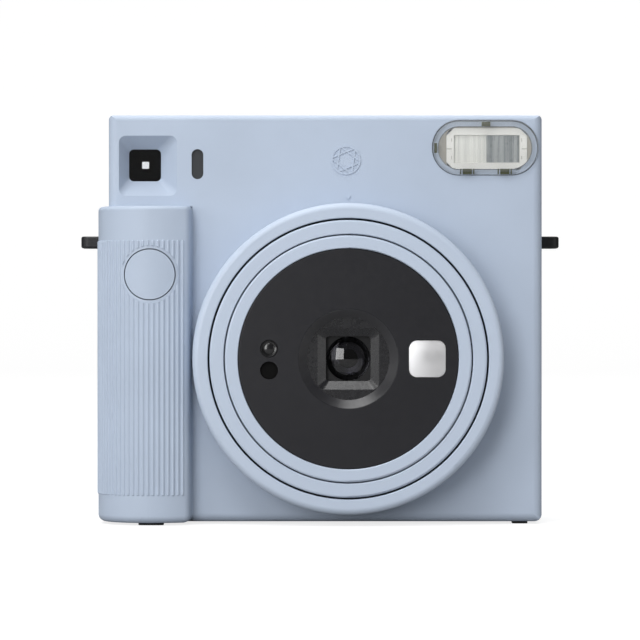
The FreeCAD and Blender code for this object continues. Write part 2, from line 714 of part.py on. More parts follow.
def rib_solids():
    """The grip's upright ribs: a low arched section for each, sunk a little into the cover."""
    p = grip_points(0)
    width, height = d.rib_width.value, d.rib_height.value
    low, high = d.rib_low.value, d.rib_high.value
    full_run = p["slope"] * (p["slope_aim"] + math.pi / 2) + p["bow"] * math.pi / 2
    ribs = []
    distance = 0.2
    while distance + width < full_run + 0.6:
        first, first_angle = grip_path_point(p, distance)
        top, top_angle = grip_path_point(p, distance + width / 2)
        last, last_angle = grip_path_point(p, distance + width)
        first, last = polar(first, -RIB_ROOT, first_angle), polar(last, -RIB_ROOT, last_angle)
        crown = polar(top, height, top_angle)
        rib = prism([Part.Arc(first, crown, last).toShape(), Part.makeLine(last, first)], low, high)
        ends = [edge for edge in rib.Edges
                if edge.Length > width and edge.Curve.TypeId == "Part::GeomCircle"]
        ribs.append(rib.makeFillet(RIB_END, ends))
        distance += d.rib_pitch.value
    return ribs


def forward_cylinder(radius, x, z, front, back):
    """A plain cylinder shape along Y."""
    return Part.makeCylinder(radius, back - front, Vector(x, front, z), Vector(0, 1, 0))


def block_shape(low, high):
    return Part.makeBox(high[0] - low[0], high[1] - low[1], high[2] - low[2], Vector(*low))


def upright_cylinder(radius, x, y, low, high):
    return Part.makeCylinder(radius, high - low, Vector(x, y, low))


LID_RECESS = 2.2
LID_KNUCKLE = 1.35
LID_PIN = 0.6
LID_KNUCKLES = (20.3, 59.7)


def grip_cover(block):
    """The ribbed grip shell with its button hole, battery opening, hinge and lug notch."""
    x, z = d.button_x.value, d.button_z.value
    margin = forward_cylinder(d.button_radius.value + 1.2, x, z, -40, 0)
    ribs = [rib.cut(margin) for rib in rib_solids()]
    shell = block.fuse(ribs).cut(grip_hollow())
    hole = forward_cylinder(d.button_radius.value + d.button_gap.value, x, z, -40, -10)
    left, wall = d.grip_left.value, d.grip_wall.value
    low, high = d.lid_low.value - 0.25, d.lid_high.value + 0.25
    opening = block_shape((left - 2, d.lid_front.value - 0.25, low),
                          (left + wall + 0.5, d.lid_hinge_y.value, high))
    hinge_x, hinge_y = d.lid_hinge_x.value, d.lid_hinge_y.value
    recess = upright_cylinder(LID_RECESS, hinge_x, hinge_y, low, high)
    half = d.lug_height.value / 2
    notch = block_shape((left - 2, d.lug_front.value, d.lug_z.value - half),
                        (left + wall + 1, d.lug_back.value, d.lug_z.value + half))
    shell = shell.cut([hole, opening, recess, notch])
    for low, high in ((d.lid_low.value, 20.0), (60.0, d.lid_high.value)):
        knuckle = upright_cylinder(LID_KNUCKLE, hinge_x, hinge_y, low, high)
        web = block_shape((hinge_x - 0.9, hinge_y, low),
                          (hinge_x + 0.9, d.grip_back.value - wall + 1.0, high))
        shell = shell.fuse([knuckle, web])
    shell = shell.cut(upright_cylinder(LID_PIN, hinge_x, hinge_y, 5, 75))
    return shape_piece(shell, "grip_cover")


def shape_piece(shape, name):
    """A sub-part whose shape is worked out here from the sheet's sizes."""
    item = doc.addObject("Part::Feature", fresh(name))
    where = shape.Placement
    item.Shape = shape
    item.Placement = where
    return piece(item, name)


def battery_door():
    """The battery door in the grip's side, with its long middle knuckle and finger notch."""
    left, wall = d.grip_left, d.grip_wall
    plate = slab("XZ", d.lid_front, d.lid_back, rectangle(left, left + wall, d.lid_low, d.lid_high))
    low, high = LID_KNUCKLES
    knuckle = rod(LID_KNUCKLE, (d.lid_hinge_x, d.lid_hinge_y, low), high - low, "z", name="knuckle")
    web = box((d.lid_hinge_x - 1.0, d.lid_back - 0.5, low), (d.lid_hinge_x + 0.6, d.lid_hinge_y, high))
    solid = fuse(plate, knuckle, web)
    bore = rod(LID_PIN + 0.05, (d.lid_hinge_x, d.lid_hinge_y, 0), 80, "z", name="bore")
    notch = rod(4.0, (left - 3.1, d.lid_front + 3.0, 34), 12, "z", name="finger_notch")
    return piece(cut(solid, bore, notch, name="battery_door"), "battery_door")


def shutter_button(block):
    """The round button, whose face carries on the grip's curve, on a flanged stem."""
    x, z, radius = d.button_x.value, d.button_z.value, d.button_radius.value
    cap = block.common(forward_cylinder(radius, x, z, -40, -21.0))
    collar = forward_cylinder(6.0, x, z, -21.5, -19.0)
    flange = forward_cylinder(8.6, x, z, -19.2, -17.9)
    stem = forward_cylinder(2.0, x, z, -18.5, -13.6)
    return shape_piece(cap.fuse([collar, flange, stem]).removeSplitter(), "shutter_button")


def base_feet():
    """Four glued rubber feet."""
    corners = ((-53.0, -45.7, -20.5, -14.5), (56.6, 61.1, -11.5, -5.5),
               (-53.0, -45.7, 16.0, 22.0), (56.6, 61.1, 16.0, 22.0))
    feet = []
    for left, right, front, back in corners:
        feet.append(slab("XY", 0, d.body_base, rectangle(left, right, front, back, 1.2), name="foot"))
    return piece(group(*feet, name="base_feet"), "base_feet")


def strap_lug(side, name):
    """A strap loop with its root in the casing wall and a flange inside."""
    tip = d.lug_tip
    face = d.body_right if side > 0 else -d.grip_left
    inside = face - (d.wall if side > 0 else d.grip_wall)
    front, back = d.lug_front, d.lug_back
    loop = [(face - 1.5, front), (tip, front, 2.2), (tip, back, 2.2), (face - 1.5, back)]
    eye = [(face + 0.6, front + 2.2, 0.6), (tip - 2.0, front + 2.2, 1.2),
           (tip - 2.0, back - 2.2, 1.2), (face + 0.6, back - 2.2, 0.6)]
    flange = [(inside - 1.5, front - 1.5), (inside, front - 1.5), (inside, back + 1.5),
              (inside - 1.5, back + 1.5)]
    root = [(inside - 1.0, front), (face - 1.0, front), (face - 1.0, back), (inside - 1.0, back)]
    half = d.lug_height / 2

    def mirrored(outline):
        return [(corner[0] * side, *corner[1:]) for corner in outline]

    low, high = d.lug_z - half, d.lug_z + half
    body = slab("XY", low, high, mirrored(loop), mirrored(eye), name="lug_loop")
    rounded = body.newObject("PartDesign::Fillet", fresh("lug_round"))
    doc.recompute()
    base = body.Group[-2]
    names = []
    for index, edge in enumerate(base.Shape.Edges, start=1):
        level = abs(edge.Vertexes[0].Z - edge.Vertexes[-1].Z) < 1e-6
        outside = abs(edge.CenterOfMass.x) > face.value + 0.3
        if level and outside:
            names.append(f"Edge{index}")
    rounded.Base = (base, names)
    rounded.Radius = 0.6
    plate = slab("XY", low - 1.5, high + 1.5, mirrored(flange))
    neck = slab("XY", low, high, mirrored(root))
    return piece(fuse(body, plate, neck, name=name), name)


# ---------------------------------------------------------------- lens

def lens_dial():
    """The twist dial: a broad ring with a rounded front edge and an inner seat for the sleeve."""
    front = d.dial_front
    profile = [(d.dial_mouth, front, 0.3), (d.dial_radius, front, 1.8), (d.dial_radius, d.dial_back, 0.3),
               (d.sleeve_radius, d.dial_back), (d.sleeve_radius, front + 2), (d.dial_mouth, front + 2)]
    return piece(turned(profile, name="lens_dial"), "lens_dial")


OUTER_PIN_ANGLES = (30, 150, 270)
INNER_PIN_ANGLES = (90, 210, 330)
RAIL_ANGLES = (0, 120, 240)


def cam_slot(angle, start_y, travel, name):
    """A helical slot in the cam sleeve, which starts at a pin and falls back as it moves forward."""
    spare = 2.6
    middle = (d.sleeve_bore + d.sleeve_radius) / 2
    pitch = travel * 360 / d.dial_turn
    run = travel + spare * 2 * travel / (d.dial_turn * math.pi / 180 * middle)
    helix = doc.addObject("Part::Helix", fresh("cam_line"))
    bind(helix, "Pitch", pitch)
    bind(helix, "Height", run)
    bind(helix, "Radius", middle)
    helix.LocalCoord = 1
    profile = doc.addObject("Sketcher::SketchObject", fresh("cam_section"))
    profile.Placement = Placement(Vector(0, 0, 0), Rotation(Vector(1, 0, 0), 90))
    tall = (d.pin_radius + 0.3) * 2.35
    draw_outline(profile, centred(middle, size(0), 4.0, tall))
    sweep = doc.addObject("Part::Sweep", fresh(name))
    sweep.Sections = [profile]
    sweep.Spine = (helix, [])
    sweep.Solid = True
    sweep.Frenet = True
    lead = math.degrees(spare / middle.value)
    turn = Rotation(Vector(1, 0, 0), 90) * Rotation(Vector(0, 0, 1), angle + lead)
    back_step = spare * travel / (d.dial_turn * math.pi / 180 * middle)
    return place(sweep, (d.lens_x, start_y + back_step, d.lens_z), turn)


def cam_sleeve():
    """The slotted sleeve behind the dial, held by a rear flange inside the front cover."""
    flange_front = d.front_y + d.wall + 0.1
    bore, radius = d.sleeve_bore, d.sleeve_radius
    profile = [(bore, d.dial_front + 2), (radius, d.dial_front + 2), (radius, flange_front),
               (44.3, flange_front), (44.3, flange_front + 1.2), (radius, flange_front + 1.2),
               (radius, d.sleeve_back), (bore, d.sleeve_back)]
    sleeve = turned(profile, name="sleeve_tube")
    slots = [cam_slot(a, d.outer_pin_y, d.outer_travel, "outer_slot") for a in OUTER_PIN_ANGLES]
    slots += [cam_slot(a, d.inner_pin_y, d.inner_travel, "inner_slot") for a in INNER_PIN_ANGLES]
    return piece(cut(sleeve, *slots, name="cam_sleeve"), "cam_sleeve")


def outer_barrel():
    """The first stage: a tube with a front lip, pin sockets and straight guide slots."""
    front, back = d.dial_front - 0.2, d.sleeve_back
    profile = [(d.outer_lip, front, 0.3), (d.outer_radius, front, 0.6), (d.outer_radius, back),
               (d.outer_bore, back), (d.outer_bore, front + 1.6), (d.outer_lip, front + 1.6)]
    tube = turned(profile, name="outer_tube")
    tools = [spoke(d.pin_radius, a, 38.9, 4, d.outer_pin_y) for a in OUTER_PIN_ANGLES]
    for angle in INNER_PIN_ANGLES:
        tools.append(guide_slot(angle))
    return piece(cut(tube, *tools, name="outer_barrel"), "outer_barrel")


def guide_slot(angle):
    """A straight slot along the outer barrel, which lets the inner barrel's pin travel."""
    half = d.pin_radius + 0.3
    reach = -(d.inner_travel - d.outer_travel) - half
    slot = box((-half, reach, 36), (half, half, 43), name="guide_slot")
    holder = group(slot, name="guide_holder")
    return place(holder, (d.lens_x, d.inner_pin_y, d.lens_z), Rotation(Vector(0, 1, 0), 90 - angle))


def barrel_pins(angles, inner, depth, name):
    """Three steel follower pins."""
    pins = [spoke(d.pin_radius, a, inner, 42.3 - inner, depth, name="pin") for a in angles]
    return piece(group(*pins, name=name), name)


def rail(angle, inner, outer, front, back, half_width, name="rail"):
    """A bar that lies along the lens axis at an angle round it."""
    bar = doc.addObject("Part::Box", fresh(name))
    bind(bar, "Length", size(outer) - inner)
    bind(bar, "Width", size(back) - front)
    bind(bar, "Height", size(half_width) * 2)
    bind_start = (inner, front, -size(half_width))
    place(bar, bind_start)
    holder = group(bar, name="rail_holder")
    return place(holder, (d.lens_x, 0, d.lens_z), Rotation(Vector(0, 1, 0), -angle))


def inner_barrel():
    """The second stage: a tube with a broad front ring and a notched rear flange."""
    front = d.front_y - 13.0
    ring_bore = d.panel_radius + 0.1
    profile = [(ring_bore, front, 0.3), (d.inner_radius, front, 0.6), (d.inner_radius, -7.5),
               (38.0, -7.5), (38.0, -4.7), (d.inner_bore, -4.7), (d.inner_bore, front + 1.6),
               (ring_bore, front + 1.6)]
    tube = turned(profile, name="inner_tube")
    tools = [spoke(d.pin_radius, a, 36.0, 4, d.inner_pin_y) for a in INNER_PIN_ANGLES]
    tools += [rail(a, 36.0, 39.0, -9, -3, 4.3, name="rail_notch") for a in RAIL_ANGLES]
    return piece(cut(tube, *tools, name="inner_barrel"), "inner_barrel")


def lens_guide_rails():
    """Three fixed rails that keep the inner barrel from turning, on a ring on the main frame."""
    base = ring(39.5, 36.3, 2.0, d.chamber_front - d.frame_wall, name="rail_ring")
    bars = [rail(a, 36.3, 37.8, -24, 2.5, 4.0) for a in RAIL_ANGLES]
    return piece(fuse(base, *bars, name="lens_guide_rails"), "lens_guide_rails")


PANEL_FRONT = -28.4
PANEL_BACK = -26.2
HOOD_BEVEL_BACK = -25.0
HOOD_BACK = -23.2
HOOD_MOUTH = 17.85
HOOD_THROAT = 13.0


def front_panel():
    """The black front disc, with the cone round the lens, the mirror's pocket and sensor holes."""
    profile = [(12.0, PANEL_BACK), (14.5, PANEL_FRONT, 0.2), (d.panel_radius, PANEL_FRONT, 0.3),
               (d.panel_radius, -27.0), (34.0, -27.0), (34.0, PANEL_BACK)]
    disc = turned(profile, name="panel_disc")
    pocket = slab("XZ", PANEL_FRONT - 1, PANEL_FRONT + 1.0,
                  centred(d.lens_x + d.mirror_x, d.lens_z, d.mirror_side, d.mirror_side, 2.4))
    tools = [pocket]
    for side in (-1, 1):
        tools.append(rod(d.sensor_radius, (d.lens_x + d.sensor_x, PANEL_FRONT - 1,
                         d.lens_z + d.sensor_gap * side - 0.2), 5, name="sensor_hole"))
    return piece(cut(disc, *tools, name="front_panel"), "front_panel")


def lens_hood():
    """The square baffle in front of the lens: a shallow bevel and a straight throat in a round plate."""
    plate = turned([(0, PANEL_BACK), (15.5, PANEL_BACK), (15.5, HOOD_BACK), (0, HOOD_BACK)])
    square = (d.lens_x, d.lens_z, HOOD_THROAT, HOOD_THROAT)
    mouth = funnel(d.lens_x, d.lens_z, (HOOD_MOUTH, HOOD_MOUTH), square, PANEL_BACK, HOOD_BEVEL_BACK,
                   2.0, 1.0)
    throat = slab("XZ", HOOD_BEVEL_BACK - 0.05, HOOD_BACK + 0.5, centred(*square, 1.0), name="hood_throat")
    return piece(cut(plate, mouth, throat, name="lens_hood"), "lens_hood")


def selfie_mirror():
    """The small rounded mirror for framing oneself, very slightly domed."""
    x = d.lens_x + d.mirror_x
    plate = slab("XZ", PANEL_FRONT, PANEL_FRONT + 1.0,
                 centred(x, d.lens_z, d.mirror_side - 0.1, d.mirror_side - 0.1, 2.35))
    dome = doc.addObject("Part::Sphere", fresh("mirror_dome"))
    dome.Radius = 60
    place(dome, (x, PANEL_FRONT + 60, d.lens_z))
    return piece(common(plate, dome, name="selfie_mirror"), "selfie_mirror")


def light_sensors():
    """Two small domed photo cells, set in the panel one above the other."""
    cells = []
    for side in (-1, 1):
        z = d.lens_z + d.sensor_gap * side - 0.2
        x = d.lens_x + d.sensor_x
        cell = rod(d.sensor_radius, (x, PANEL_FRONT + 1.2, z), 3.0, name="sensor_cell")
        dome = doc.addObject("Part::Sphere", fresh("sensor_dome"))
        dome.Radius = 2.2
        place(dome, (x, PANEL_FRONT + 2.6, z))
        cells.append(fuse(cell, dome, name="light_sensor"))
    return piece(group(*cells, name="light_sensors"), "light_sensors")


def lens_element(radius, front, back, bulge, name):
    """A glass element with a domed front and a flat back."""
    middle = (radius * radius + size(bulge * bulge)) / (2 * bulge)
    blank = rod(radius, (d.lens_x, front, d.lens_z), back - front, name="glass_blank")
    ball = doc.addObject("Part::Sphere", fresh("glass_ball"))
    bind(ball, "Radius", middle)
    place(ball, (d.lens_x, front + middle, d.lens_z))
    return piece(common(blank, ball, name=name), name)


def lens_cell():
    """The tube that holds the two glass elements behind the hood."""
    seat = d.glass_radius
    profile = [(seat, HOOD_BACK), (15.5, HOOD_BACK), (15.5, HOOD_BACK + 1.5), (9.5, HOOD_BACK + 1.5),
               (9.5, -16.0), (4.0, -16.0), (4.0, -17.0), (5.5, -17.0), (5.5, -19.0), (4.6, -19.0),
               (4.6, -20.2), (seat, -20.2)]
    return piece(turned(profile, name="lens_cell"), "lens_cell")


def shutter_plate():
    """The plate with the aperture, blade pivots and three arms to the inner barrel."""
    disc = turned([(3.0, -16.0), (14.0, -16.0), (14.0, -14.8), (3.0, -14.8)], name="shutter_disc")
    arms = [rail(a, 13.5, 33.4, -16.0, -14.8, 3.0, name="shutter_arm") for a in INNER_PIN_ANGLES]
    rim = ring(d.inner_bore, 32.8, -16.0, -14.8, name="shutter_rim")
    parts = [disc, rim, *arms]
    for side in (-1, 1):
        parts.append(rod(0.8, (d.lens_x + BLADE_PIVOT[0] * side, -15.2, d.lens_z + BLADE_PIVOT[1]), 2.6,
                         name="blade_pivot"))
    return piece(fuse(*parts, name="shutter_plate"), "shutter_plate")


BLADE_PIVOT = (9.0, -3.0)


def shutter_blade(side, depth, name):
    """A thin leaf that covers the aperture from its pivot at one side."""
    x, z = d.lens_x + BLADE_PIVOT[0] * side, d.lens_z + BLADE_PIVOT[1]
    leaf = [(x + 1.8 * side, z - 1.6, 1.0), (x + 1.8 * side, z + 2.4, 1.0),
            (d.lens_x - 3.9 * side, d.lens_z + 4.2, 2.0), (d.lens_x - 4.4 * side, d.lens_z - 4.0, 2.0)]
    if side > 0:
        leaf = leaf[::-1]
    blade = slab("XZ", depth, depth + 0.35, leaf, name="leaf")
    bore = rod(0.85, (x, depth - 1, z), 3, name="bore")
    return piece(cut(blade, bore, name=name), name)


def shutter_solenoid():
    """The coil and frame that drive the shutter blades, on the back of the shutter plate."""
    low = d.lens_z - 13.0
    coil = rod(2.6, (d.lens_x - 5, -11.6, low), 10, "x", name="coil")
    yoke = box((d.lens_x - 6.2, -14.8, low - 3.0), (d.lens_x + 6.2, -14.0, low + 3.0))
    cheeks = [box((d.lens_x + x, -14.4, low - 2.8), (d.lens_x + x + 1.2, -9.0, low + 2.8))
              for x in (-6.2, 5.0)]
    return piece(fuse(coil, yoke, *cheeks, name="shutter_solenoid"), "shutter_solenoid")


# ---------------------------------------------------------------- front fittings

def viewfinder():
    """The tunnel through the camera, its front lens and the eyepiece."""
    x, z, side = d.finder_x, d.finder_z, d.finder_side
    front = d.front_y + d.finder_depth
    back = d.rear_y - d.wall
    tunnel = slab("XZ", front, back, centred(x, z, side + 2.4, side + 2.4, 2.2),
                  centred(x, z, side, side, 1.4), name="viewfinder_tunnel")
    piece(tunnel, "viewfinder_tunnel")
    glass = slab("XZ", front + 0.6, front + 2.0, centred(x, z, side, side, 1.4), name="finder_glass")
    piece(glass, "viewfinder_front_lens")
    frame = slab("XZ", back, d.rear_y + 0.4, centred(x, z, 12.0, 12.0, 1.5), centred(x, z, 7.0, 7.0, 1.2),
                 name="eyepiece_frame")
    pane = slab("XZ", back + 0.6, back + 1.8, centred(x, z, 7.0, 7.0, 1.2), name="eyepiece_pane")
    piece(fuse(frame, pane, name="viewfinder_eyepiece"), "viewfinder_eyepiece")


def sensor_window():
    """The tall dark window of the exposure sensor."""
    outline = centred(d.slot_x, d.slot_z, d.slot_width, d.slot_height, d.slot_width / 2.02)
    pane = slab("XZ", d.front_y + 0.5, d.front_y + 3.5, outline, name="sensor_window")
    return piece(pane, "sensor_window")


def flash_window():
    """The clear flash cover: a shell that stands proud, with a bevelled rim."""
    back = d.front_y + d.wall + 0.2
    body = slab("XZ", d.flash_front, back,
                centred(d.flash_x, d.flash_z, d.flash_width, d.flash_height, 7.9), name="flash_cover")
    bevel = body.newObject("PartDesign::Chamfer", fresh("flash_bevel"))
    doc.recompute()
    base = body.Group[-2]
    names = [f"Edge{i}" for i, edge in enumerate(base.Shape.Edges, start=1)
             if all(abs(v.Y - d.flash_front.value) < 1e-6 for v in edge.Vertexes)]
    bevel.Base = (base, names)
    bevel.Size = 1.2
    inside = slab("XZ", d.flash_front + 1.5, back + 1,
                  centred(d.flash_x, d.flash_z, d.flash_width - 3.6, d.flash_height - 3.6, 6.0))
    return piece(cut(body, inside, name="flash_window"), "flash_window")


FLASH_X = 48.95
FLASH_Z = 110.1
TUBE_Y = -8.6


def flash_reflector():
    """The white flash housing: a frame with the curved trough that the tube lies in."""
    outer = [(FLASH_X - 11.8, FLASH_Z - 3.9, 0.1), (FLASH_X - 9.6, FLASH_Z - 6.1, 0.1),
             (FLASH_X + 9.6, FLASH_Z - 6.1, 0.1), (FLASH_X + 11.8, FLASH_Z - 3.9, 0.1),
             (FLASH_X + 11.8, FLASH_Z + 3.9, 0.1), (FLASH_X + 9.6, FLASH_Z + 6.1, 0.1),
             (FLASH_X - 9.6, FLASH_Z + 6.1, 0.1), (FLASH_X - 11.8, FLASH_Z + 3.9, 0.1)]
    frame = slab("XZ", -13.3, -11.8, outer, name="flash_frame")
    case_outline = centred(size(FLASH_X), size(FLASH_Z), 21.6, 10.6, 0.6)
    case = slab("XZ", -12.0, -5.3, case_outline, name="flash_case")
    trough = [(-13.9, FLASH_Z - 4.2), (-13.9, FLASH_Z + 4.2), (-9.4, FLASH_Z + 3.4, 1.5),
              (-6.6, FLASH_Z + 1.2, 1.0), (-6.6, FLASH_Z - 1.2, 1.0), (-9.4, FLASH_Z - 3.4, 1.5)]
    hollow = slab("YZ", FLASH_X - 9.65, FLASH_X + 9.65, trough[::-1], name="flash_trough")
    bore = rod(1.3, (FLASH_X - 14, TUBE_Y, FLASH_Z), 28, "x", name="tube_hole")
    return piece(cut(fuse(frame, case), hollow, bore, name="flash_reflector"), "flash_reflector")


def flash_tube():
    """The glass discharge tube with a metal cap at each end."""
    glass = rod(1.3, (FLASH_X - 11.2, TUBE_Y, FLASH_Z), 22.4, "x", name="tube_glass")
    wire = rod(0.4, (FLASH_X - 12.8, TUBE_Y, FLASH_Z), 25.6, "x", name="tube_wire")
    return piece(fuse(glass, wire, name="flash_tube"), "flash_tube")


def flash_capacitor():
    """The flash's storage capacitor with its crimp groove and legs."""
    x, y = 56.7, 4.0
    can = rod(5.6, (x, y, 12), 34, "z", name="capacitor_can")
    groove = cut(rod(6.2, (x, y, 42.5), 1.0, "z"), rod(5.1, (x, y, 42), 2.0, "z"))
    legs = [rod(0.4, (x + step, y, 46), 4, "z", name="leg") for step in (-2, 2)]
    return piece(fuse(cut(can, groove), *legs, name="flash_capacitor"), "flash_capacitor")


def main_circuit_board():
    """The control board beside the film chamber, with its chips and a connector."""
    board = box((52.0, -9.5, 51), (53.4, 20, 83.5), name="board")
    chips = [box((53.4, y, z), (54.6, y + w, z + tall)) for y, z, w, tall in
             ((-6, 60, 9, 9), (6, 56, 6, 8), (6, 70, 8, 5), (-7, 74, 5, 4))]
    socket = box((53.4, 15, 56), (57.4, 19, 68), name="socket")
    spacers = [rod(1.6, (50.6, y, z), 1.4, "x", name="spacer") for y, z in ((7.5, 54.5), (17, 80))]
    return piece(fuse(board, *chips, socket, *spacers, name="main_circuit_board"), "main_circuit_board")


# ---------------------------------------------------------------- frame and film

def chamber_box(grow, front, back):
    """A block as wide and tall as the film chamber, grown by a margin."""
    return box((d.chamber_left - grow, front, d.chamber_base - grow),
               (d.chamber_right + grow, back, d.chamber_top + grow), name="chamber_block")


MOTOR_RADIUS = 7.5


def main_frame():
    """The film chamber with its picture gate, and the cheeks that carry the rollers and motor."""
    wall, rear = d.frame_wall, d.rear_y - d.wall
    outside = chamber_box(wall, d.chamber_front - wall, rear)
    left_cheek = box((d.chamber_left - wall, -2, 98), (d.chamber_left, 15.5, 115))
    right_cheek = box((d.chamber_right, -2, 98), (d.chamber_right + wall, 15.5, 115))
    motor_plate = box((d.chamber_right, -12.8, 84.5), (d.chamber_right + wall, 6, 101.5))
    solid = fuse(outside, left_cheek, right_cheek, motor_plate, name="frame_solid")
    half = d.gate_side / 2
    gate = slab("XZ", 0, 8, centred(d.lens_x, d.lens_z, d.gate_side, d.gate_side, 1.0), name="picture_gate")
    tools = [chamber_box(0, d.chamber_front, rear + 1), gate]
    tools.append(box((d.lens_x - EXIT_HALF, d.chamber_front + 0.1, 100), (d.lens_x + EXIT_HALF, 8.0, 106)))
    tools.append(rod(d.hinge_recess, (d.hinge_x, d.hinge_y, 0), 112, "z", name="hinge_recess"))
    for y in (d.drive_y, d.pressure_y):
        tools.append(rod(2.4, (d.chamber_left - 5, y, d.roller_z), 90, "x", name="bush_hole"))
    tools.append(rod(1.6, (45, d.motor_y, d.motor_z), 10, "x", name="motor_hole"))
    tools.append(rod(REDUCTION_AXLE, (49.4, d.reduction_y, d.reduction_z), 5, "x", name="axle_hole"))
    tools.append(box((d.chamber_left - 3, CLAW_Y[0] - 0.2, 8), (d.chamber_left + 1, CLAW_Y[1] + 0.2, 32)))
    for x, z in FRAME_SCREWS:
        tools.append(rod(FRAME_SCREW_SHANK, (x, 0, z), 8, name="screw_hole"))
        tools.append(rod(2.2, (x, 4.3, z), 3, name="screw_head_hole"))
    return piece(cut(solid, *tools, name="main_frame"), "main_frame")


def screws(places, front, shank, head, head_front, head_back):
    """Cross-head screws that run forward."""
    made = []
    for x, z in places:
        body = fuse(rod(shank, (x, front, z), head_front - front, name="shank"),
                    rod(head, (x, head_front, z), head_back - head_front, name="head"))
        cross = [box((x - a, head_back - 0.5, z - b), (x + a, head_back + 1, z + b))
                 for a, b in ((head * 0.6, 0.2), (0.2, head * 0.6))]
        made.append(cut(body, *cross, name="screw"))
    return made


def case_screws():
    """Four long screws join the covers, and four short ones hold the main frame to the front."""
    long_ones = screws(BODY_SCREWS, -7.5, BODY_SCREW_SHANK, 1.8, d.rear_y - 1.6, d.rear_y - 0.4)
    short_ones = screws(FRAME_SCREWS, -5.5, FRAME_SCREW_SHANK, 2.1, size(4.3), size(5.5))
    piece(group(*long_ones, *short_ones, name="case_screws"), "case_screws")


def roller_bushes():
    """Four flanged bushes for the roller shafts."""
    bushes = []
    for y in (d.drive_y, d.pressure_y):
        for x, flange_x in ((d.chamber_left - d.frame_wall, d.chamber_left - d.frame_wall - 0.5),
                            (d.chamber_right, d.chamber_right + d.frame_wall)):
            body = fuse(rod(2.4, (x, y, d.roller_z), d.frame_wall, "x"),
                        rod(2.9, (flange_x, y, d.roller_z), 0.5, "x"))
            bore = rod(d.shaft_radius + d.running_gap, (x - 4, y, d.roller_z), 10, "x", name="bore")
            bushes.append(cut(body, bore, name="bush"))
    return piece(group(*bushes, name="roller_bushes"), "roller_bushes")


def involute_gear(teeth, module, low, high, bore, turn=0.0):
    """A spur gear along +Z with involute flanks, given a little backlash."""
    pitch_r = teeth * module / 2
    base_r = pitch_r * math.cos(math.radians(20))
    tip_r = pitch_r + module * 0.9
    root_r = pitch_r - module * 1.2
    half_tooth = math.pi / (2 * teeth) - 0.045 / pitch_r
    roll_pitch = math.sqrt((pitch_r / base_r) ** 2 - 1)
    face_half = half_tooth + roll_pitch - math.atan(roll_pitch)
    start_r = max(base_r, root_r)
    flank = []
    steps = 5
    for k in range(steps + 1):
        radius = start_r + (tip_r - start_r) * k / steps
        roll = math.sqrt(max((radius / base_r) ** 2 - 1, 0))
        flank.append((radius, face_half - (roll - math.atan(roll))))
    edges = []
    for tooth in range(teeth):
        middle = 2 * math.pi * tooth / teeth + turn
        rising = [polar(Vector(), r, middle - a) for r, a in flank]
        falling = [polar(Vector(), r, middle + a) for r, a in reversed(flank)]
        root_in = polar(Vector(), root_r, middle - flank[0][1])
        root_out = polar(Vector(), root_r, middle + flank[0][1])
        following = polar(Vector(), root_r, middle + 2 * math.pi / teeth - flank[0][1])
        if (rising[0] - root_in).Length > 1e-4:
            edges.append(Part.makeLine(root_in, rising[0]))
        edges.append(curve_through(rising))
        edges.append(Part.Arc(rising[-1], polar(Vector(), tip_r, middle), falling[0]).toShape())
        edges.append(curve_through(falling))
        if (falling[-1] - root_out).Length > 1e-4:
            edges.append(Part.makeLine(falling[-1], root_out))
        gap_middle = polar(Vector(), root_r, middle + math.pi / teeth)
        edges.append(Part.Arc(root_out, gap_middle, following).toShape())
    gear = prism(edges, low, high)
    return gear.cut(upright_cylinder(bore, 0, 0, low - 1, high + 1))


def curve_through(points):
    curve = Part.BSplineCurve()
    curve.interpolate(points)
    return curve.toShape()


def along_x(shape, y, z):
    """Turns a shape made along +Z to lie along +X at a place."""
    shape.rotate(Vector(), Vector(0, 1, 0), 90)
    shape.translate(Vector(0, y, z))
    return shape


def shaft_shape(radius, low, high):
    return upright_cylinder(radius, 0, 0, low, high)


SYNC_TEETH = 16
SYNC_MODULE = 0.5
ROLLER_TEETH = 22
SMALL_TEETH = 18
LARGE_TEETH = 30
PINION_TEETH = 10
REDUCTION_AXLE = 1.0


def mesh_turn(first, second, first_turn, first_teeth, second_teeth):
    """The turn that puts a second gear's gap where the first gear's tooth points at it."""
    aim = math.atan2(second[1] - first[1], second[0] - first[0])
    phase = ((aim - first_turn) * first_teeth / (2 * math.pi)) % 1.0
    return aim + math.pi + (phase - 0.5) * 2 * math.pi / second_teeth


